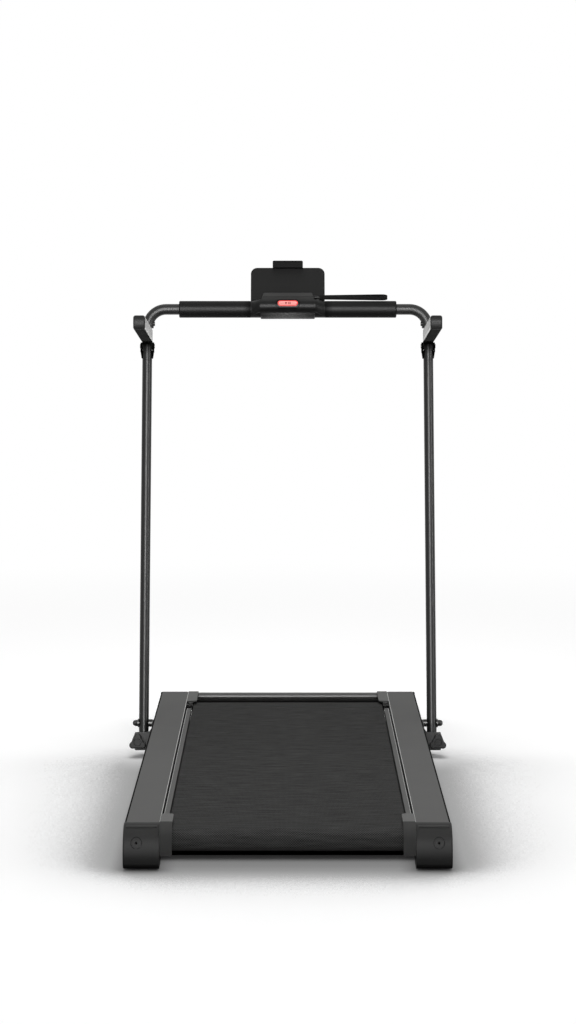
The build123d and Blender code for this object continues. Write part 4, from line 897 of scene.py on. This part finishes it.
def makeRailTrim(side):
    def block(x0, x1, y0, y1, z0, z1, bevel):
        xs = sorted((side * x0 * mm, side * x1 * mm))
        return addBlock((xs[0], y0 * mm, z0 * mm), (xs[1], y1 * mm, z1 * mm), bevel * mm)

    name = "Left" if side < 0 else "Right"
    t = trimSet
    # painted shade: a black strip stands in for the shade in the groove
    shadeStrip = block(
        t["grooveInner"] + t["shadeStripGap"], t["grooveOuter"] - t["shadeStripGap"],
        t["guardEnd"] - t["shadeStripTuck"], t["gapRear"] - t["endGap"],
        t["shadeStripFloor"], t["shadeStripTop"], t["shadeStripBevel"],
    )
    finishPiece(joinPieces([shadeStrip], "grooveShadeStrip" + name), "deck", softRubber)
    railLine = block(
        t["grooveOuter"], t["grooveOuter"] + t["railEdge"], t["rearEnd"], t["frontEnd"],
        t["railTop"] - t["lineSink"], t["railTop"] + t["lineLift"], t["lineBevel"],
    )
    lipTop = t["railTop"] - t["lipDrop"]
    lipLine = block(
        t["grooveInner"] - t["lipEdge"], t["grooveInner"],
        t["guardEnd"] + t["endGap"], t["gapRear"] - t["endGap"],
        lipTop - t["lineSink"], lipTop + t["lineLift"], t["lineBevel"],
    )
    finishPiece(joinPieces([railLine, lipLine], "bareEdgesAndHighlights" + name), "deck", bareEdgeAndHighlight)


for side in (-1, 1):
    makeRailTrim(side)
print("rail trim fitted")


# Flat marks are drawn about the origin, stood over a face and wrapped down onto it

buttonOut = -Vector(joints["start_button_press"]["axis"]).normalized()
buttonUp = Vector((0, buttonOut.z, -buttonOut.y))
buttonSet = {
    "depth": -13.3,
    "height": 880.2,
    "standOff": 50,
    "rise": 0.8,  # the button sits a little above the bezel's middle
}
overBezel = leanPoint(0, buttonSet["depth"], buttonSet["height"]) + buttonOut * buttonSet["standOff"] * mm
overButton = overBezel + buttonUp * buttonSet["rise"] * mm


def wrapOnto(piece, node, place, outward, gauge):
    piece.location = place
    piece.rotation_euler = outward.to_track_quat("Z", "Y").to_euler()
    wrap = piece.modifiers.new("wrap", "SHRINKWRAP")
    wrap.target = nodes[node]
    wrap.wrap_method = "PROJECT"
    wrap.use_project_z = True
    wrap.use_positive_direction = False
    wrap.use_negative_direction = True
    wall = piece.modifiers.new("wall", "SOLIDIFY")
    wall.thickness = gauge * mm
    wall.offset = 1
    applyAll(piece)
    settle(piece)


def addPillRing(name, long, tall, line, vertices=64):  # a flat ring, round or drawn out into a pill
    deselectAll()
    bpy.ops.mesh.primitive_circle_add(vertices=vertices, radius=tall / 2 * mm, fill_type="NGON")
    ring = newPiece(name)
    shift = (long - tall) / 2 * mm
    for point in ring.data.vertices:
        point.co.x += shift if point.co.x > 0 else -shift
    editPiece(ring)
    bpy.ops.mesh.select_mode(type="FACE")
    bpy.ops.mesh.select_all(action="SELECT")
    bpy.ops.mesh.inset(thickness=line * mm)
    bpy.ops.mesh.delete(type="FACE")
    bpy.ops.object.mode_set(mode="OBJECT")
    return ring


# Start and stop sign on the button: a triangle and two bars

signSet = {
    "triangle": 3.2,
    "triangleAt": -3.6,
    "barWide": 1.7,
    "barTall": 5.2,
    "barPlaces": (2.2, 5.0),
    "corner": 0.45,
    "gauge": 0.12,
}


def makeButtonSign():
    deselectAll()
    bpy.ops.mesh.primitive_circle_add(vertices=3, radius=signSet["triangle"] * mm, fill_type="NGON")
    triangle = bpy.context.object
    triangle.rotation_euler = (0, 0, math.radians(-90))
    triangle.location = (signSet["triangleAt"] * mm, 0, 0)
    settle(triangle)
    shapes = [triangle]
    for place in signSet["barPlaces"]:
        deselectAll()
        bpy.ops.mesh.primitive_plane_add(size=mm, location=(place * mm, 0, 0))
        bar = bpy.context.object
        bar.scale = (signSet["barWide"], signSet["barTall"], 1)
        settle(bar)
        shapes.append(bar)
    sign = joinPieces(shapes, "startSign")
    editPiece(sign)
    bpy.ops.mesh.select_all(action="SELECT")
    bpy.ops.mesh.bevel(offset=signSet["corner"] * mm, segments=3, affect="VERTICES")
    bpy.ops.mesh.quads_convert_to_tris()
    bpy.ops.mesh.subdivide(number_cuts=2)
    bpy.ops.object.mode_set(mode="OBJECT")
    wrapOnto(sign, "start_button", overButton, buttonOut, signSet["gauge"])
    finishPiece(sign, "start_button", glyphRed)


makeButtonSign()
print("start sign laid")


# Glowing rim on the button, a painted glow, and dark lines of painted shade round its bezel, the adjuster plugs
# and their key holes

seamSet = {
    "rim": (42.1, 12.0, 1.5),  # length, height and line width
    "bezel": (51.0, 20.4, 0.9),
    "plug": (19.2, 19.2, 0.6),
    "plugHole": (4.2, 4.2, 0.7),
    "gauge": 0.12,
    "standOff": 20,
}


def makeSeams():
    rim = addPillRing("buttonRim", *seamSet["rim"])
    wrapOnto(rim, "start_button", overButton, buttonOut, seamSet["gauge"])
    finishPiece(rim, "start_button", rimRed)
    bezel = addPillRing("bezelSeam", *seamSet["bezel"])
    wrapOnto(bezel, "button_bezel", overBezel, buttonOut, seamSet["gauge"])
    finishPiece(bezel, "handlebar", seamShade)
    plugLow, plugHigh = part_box("adjuster_plugs")
    plugRise = (plugLow[2] + plugHigh[2]) / 2
    plugRadius = (plugHigh[2] - plugLow[2]) / 2
    backward = Vector((0, -1, 0))
    plugBack = plugLow[1] - seamSet["standOff"] * mm
    for side, name in ((-1, "left"), (1, "right")):
        place = Vector((side * (plugHigh[0] - plugRadius), plugBack, plugRise))
        seam = addPillRing("plugSeam" + name.capitalize(), *seamSet["plug"])
        wrapOnto(seam, "rear_end_cap_" + name, place, backward, seamSet["gauge"])
        finishPiece(seam, "deck", seamShade)
        hole = addPillRing("plugHole" + name.capitalize(), *seamSet["plugHole"], vertices=24)
        wrapOnto(hole, "adjuster_plugs", place, backward, seamSet["gauge"])
        finishPiece(hole, "deck", seamShade)


makeSeams()
print("rim and seams drawn")


# Dark rubber block along the front cover, put in the gap under the front bar as painted shade

gapShadeSet = {"halfLength": 217, "rear": 584, "front": 591, "foot": 52.8, "top": 58.6, "bevel": 1.4}


def makeGapShadeBlock():
    s = gapShadeSet
    shadeBlock = addBlock(
        (-s["halfLength"] * mm, s["rear"] * mm, s["foot"] * mm),
        (s["halfLength"] * mm, s["front"] * mm, s["top"] * mm), s["bevel"] * mm,
    )
    finishPiece(joinPieces([shadeBlock], "gapShadeBlock"), "deck", softRubber)


makeGapShadeBlock()
print("gap shade block fitted")


# Cross-head screws: one head, copied to every place where a cover is held on

screwSet = {
    "radius": 2.6,
    "tall": 1.5,
    "slotLong": 3.4,
    "slotWide": 0.8,
    "slotDeep": 0.8,
    "crown": 0.7,
    "slotBevel": 0.1,
    "sink": 0.2,
    "groups": [  # name, the part they sit in, its body, places in metres, and the way each one is driven
        {"name": "panScrews", "node": "belly_pan", "body": "deck", "drive": Vector((0, 0, 1)),
         "places": [(x, y, -0.05) for x in (-0.2, 0.2) for y in (-0.5, -0.3, -0.1, 0.12, 0.34, 0.56)]},
        {"name": "coverScrews", "node": "front_cover", "body": "deck", "drive": Vector((0, -1, 0)),
         "places": [(x, 0.7, 0.034) for x in (-0.2, -0.05, 0.05, 0.2)]},
        {"name": "consoleScrews", "node": "console_housing", "body": "handlebar", "drive": toUser,
         "places": [leanPoint(x, 80, 872) for x in (-52, 52)]},
    ],
}


def makeScrewHead():
    s = screwSet
    deselectAll()
    bpy.ops.mesh.primitive_cylinder_add(
        vertices=24, radius=s["radius"] * mm, depth=s["tall"] * mm, location=(0, 0, s["tall"] / 2 * mm)
    )
    head = newPiece("screwHead")
    settle(head)
    editPiece(head)
    selectEdges(head, lambda a, b: min(a.z, b.z) > s["tall"] * mm * 0.9)
    bpy.ops.mesh.bevel(offset=s["crown"] * mm, segments=4, affect="EDGES")
    bpy.ops.object.mode_set(mode="OBJECT")
    half, reach = s["slotWide"] / 2 * mm, s["slotLong"] / 2 * mm
    top, deep = s["tall"] * mm, s["slotDeep"] * mm
    for low, high in (((-half, -reach), (half, reach)), ((-reach, -half), (reach, half))):
        cutter = addBlock((*low, top - deep), (*high, top + mm), s["slotBevel"] * mm)
        slot = head.modifiers.new("slot", "BOOLEAN")
        slot.operation = "DIFFERENCE"
        slot.object = cutter
        applyAll(head)
        bpy.data.objects.remove(cutter)
    return head


def seatOn(node, place, drive):  # where a line from the place meets the part
    part = nodes[node]
    back = part.matrix_world.inverted()
    start = back @ Vector(place)
    hit, where, *_ = part.ray_cast(start, (back.to_3x3() @ drive).normalized())
    return part.matrix_world @ where if hit else None


def makeScrews():
    head = makeScrewHead()
    for group in screwSet["groups"]:
        copies = []
        for place in group["places"]:
            seat = seatOn(group["node"], place, group["drive"])
            if seat is None:
                print("no seat for a screw of", group["name"])
                continue
            copy = head.copy()
            copy.data = head.data.copy()
            bpy.context.scene.collection.objects.link(copy)
            copy.location = seat + group["drive"] * screwSet["sink"] * mm
            copy.rotation_euler = (-group["drive"]).to_track_quat("Z", "Y").to_euler()
            settle(copy)
            copies.append(copy)
        finishPiece(joinPieces(copies, group["name"]), group["body"], darkNickel)
    bpy.data.objects.remove(head)


makeScrews()
print("screws driven")


# Transport wheels: rubber lugs round each tread

lugSet = {"count": 28, "long": 12.4, "wide": 2.0, "tall": 0.5, "radius": 18.5, "root": 0.4, "bevel": 0.2}


def makeWheelLugs(side):
    centre = Vector(joints["transport_wheel_" + side + "_spin"]["pos_m"])
    g = lugSet
    top = centre.z + g["radius"] * mm
    lug = addBlock(
        (centre.x - g["long"] / 2 * mm, centre.y - g["wide"] / 2 * mm, top - g["root"] * mm),
        (centre.x + g["long"] / 2 * mm, centre.y + g["wide"] / 2 * mm, top + g["tall"] * mm),
        g["bevel"] * mm,
    )
    piece = joinPieces([lug], "wheelLugs" + side.capitalize())
    editPiece(piece)
    bpy.ops.mesh.select_all(action="SELECT")
    turn = math.tau * (g["count"] - 1) / g["count"]
    bpy.ops.mesh.spin(steps=g["count"] - 1, dupli=True, angle=turn, center=centre, axis=(1, 0, 0))
    bpy.ops.object.mode_set(mode="OBJECT")
    finishPiece(piece, "transport_wheel_" + side, softRubber)


for side in ("left", "right"):
    makeWheelLugs(side)
print("wheel lugs fitted")


# On and off marks on the mains switch

markSet = {
    "bar": (0.7, 3.0),
    "ring": (2.9, 2.9, 0.6),
    "rise": 2.9,
    "corner": 0.25,
    "standOff": 30,
    "gauge": 0.12,
}


def makeSwitchMarks():
    middle = Vector(joints["power_rocker_tilt"]["pos_m"])
    outward = Vector((0, 1, 0))
    deselectAll()
    bpy.ops.mesh.primitive_plane_add(size=mm)
    bar = newPiece("onMark")
    bar.scale = (*markSet["bar"], 1)
    settle(bar)
    editPiece(bar)
    bpy.ops.mesh.select_all(action="SELECT")
    bpy.ops.mesh.bevel(offset=markSet["corner"] * mm, segments=3, affect="VERTICES")
    bpy.ops.object.mode_set(mode="OBJECT")
    ring = addPillRing("offMark", *markSet["ring"], vertices=32)
    for mark, rise in ((bar, markSet["rise"]), (ring, -markSet["rise"])):
        place = middle + Vector((0, markSet["standOff"] * mm, rise * mm))
        wrapOnto(mark, "power_rocker", place, outward, markSet["gauge"])
        finishPiece(mark, "power_rocker", markWhite)


makeSwitchMarks()
print("switch marked")


# Tube necks: the near side of each upright, carried up over the hinge collar to the arm

neckSet = {
    "radius": 10.3,
    "centreDepth": -5.0,
    "cutDepth": -9.0,  # only what is nearer to the user stays
    "foot": 767,
    "head": 803,
    "gauge": 1.0,
}


def makeTubeNeck(side):
    n = neckSet
    low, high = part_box("hinge_clevis_" + side)
    middle = (low[0] + high[0]) / 2 / mm
    deselectAll()
    bpy.ops.mesh.primitive_cylinder_add(
        vertices=64, radius=n["radius"] * mm, depth=(n["head"] - n["foot"]) * mm, end_fill_type="NOTHING"
    )
    neck = newPiece("tubeNeck" + side.capitalize())
    neck.location = leanPoint(middle, n["centreDepth"], (n["head"] + n["foot"]) / 2)
    neck.rotation_euler = along.to_track_quat("Z", "Y").to_euler()
    settle(neck)
    editPiece(neck)
    bpy.ops.mesh.select_all(action="SELECT")
    bpy.ops.mesh.bisect(
        plane_co=leanPoint(middle, n["cutDepth"], n["foot"]), plane_no=forward, clear_outer=True
    )
    bpy.ops.object.mode_set(mode="OBJECT")
    wall = neck.modifiers.new("wall", "SOLIDIFY")
    wall.thickness = n["gauge"] * mm
    wall.offset = -1
    applyAll(neck)
    finishPiece(neck, "handrail", neckPaintHeadShade)


for side in ("left", "right"):
    makeTubeNeck(side)
print("tube necks fitted")


# Crowned pads on the near ends of the arms

padSet = {
    "armWidth": 24,
    "armHeight": 29,
    "armNear": -250,  # depth of the arm's near end
    "armMiddle": 820.5,
    "crown": 4.2,
    "corner": 4.6,
    "ease": 2.4,  # radius of the edge all round
    "inset": 0.15,
    "sink": 0.4,
    "columns": 25,
    "rows": 31,
}


def makeArmPad(side):
    p = padSet
    low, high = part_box("side_arm_" + side)
    middle = (low[0] + high[0]) / 2
    halfWide = p["armWidth"] / 2 - p["inset"]
    halfTall = p["armHeight"] / 2 - p["inset"]
    deselectAll()
    bpy.ops.mesh.primitive_grid_add(x_subdivisions=p["columns"], y_subdivisions=p["rows"], size=2)
    pad = newPiece("armPad" + side.capitalize())
    for point in pad.data.vertices:
        x, y = point.co.x * halfWide, point.co.y * halfTall
        cornerX = max(abs(x) - (halfWide - p["corner"]), 0)
        cornerY = max(abs(y) - (halfTall - p["corner"]), 0)
        reach = math.hypot(cornerX, cornerY)
        if cornerX and cornerY:  # pull the square corner in to a round one
            shrink = max(cornerX, cornerY) / reach
            x -= math.copysign(cornerX * (1 - shrink), x)
            y -= math.copysign(cornerY * (1 - shrink), y)
            reach = max(cornerX, cornerY)
        inside = p["corner"] - reach  # distance in from the rim
        short = max(p["ease"] - inside, 0)
        drop = p["ease"] - math.sqrt(p["ease"] ** 2 - short ** 2)
        rise = p["crown"] * (1 - (y / halfTall) ** 2)
        point.co = Vector((x, y, rise + p["ease"] - drop)) * mm
    editPiece(pad)
    bpy.ops.mesh.select_all(action="SELECT")
    bpy.ops.mesh.region_to_loop()
    bpy.ops.mesh.extrude_edges_move()
    bpy.ops.object.mode_set(mode="OBJECT")
    for point in pad.data.vertices:
        if point.select:  # the new rim, sunk into the arm's end
            point.co.z = -p["sink"] * mm
    pad.location = leanPoint(middle / mm, p["armNear"], p["armMiddle"])
    pad.rotation_euler = toUser.to_track_quat("Z", "Y").to_euler()
    settle(pad)
    finishPiece(pad, "handlebar", padPlastic)


for side in ("left", "right"):
    makeArmPad(side)
print("arm pads fitted")
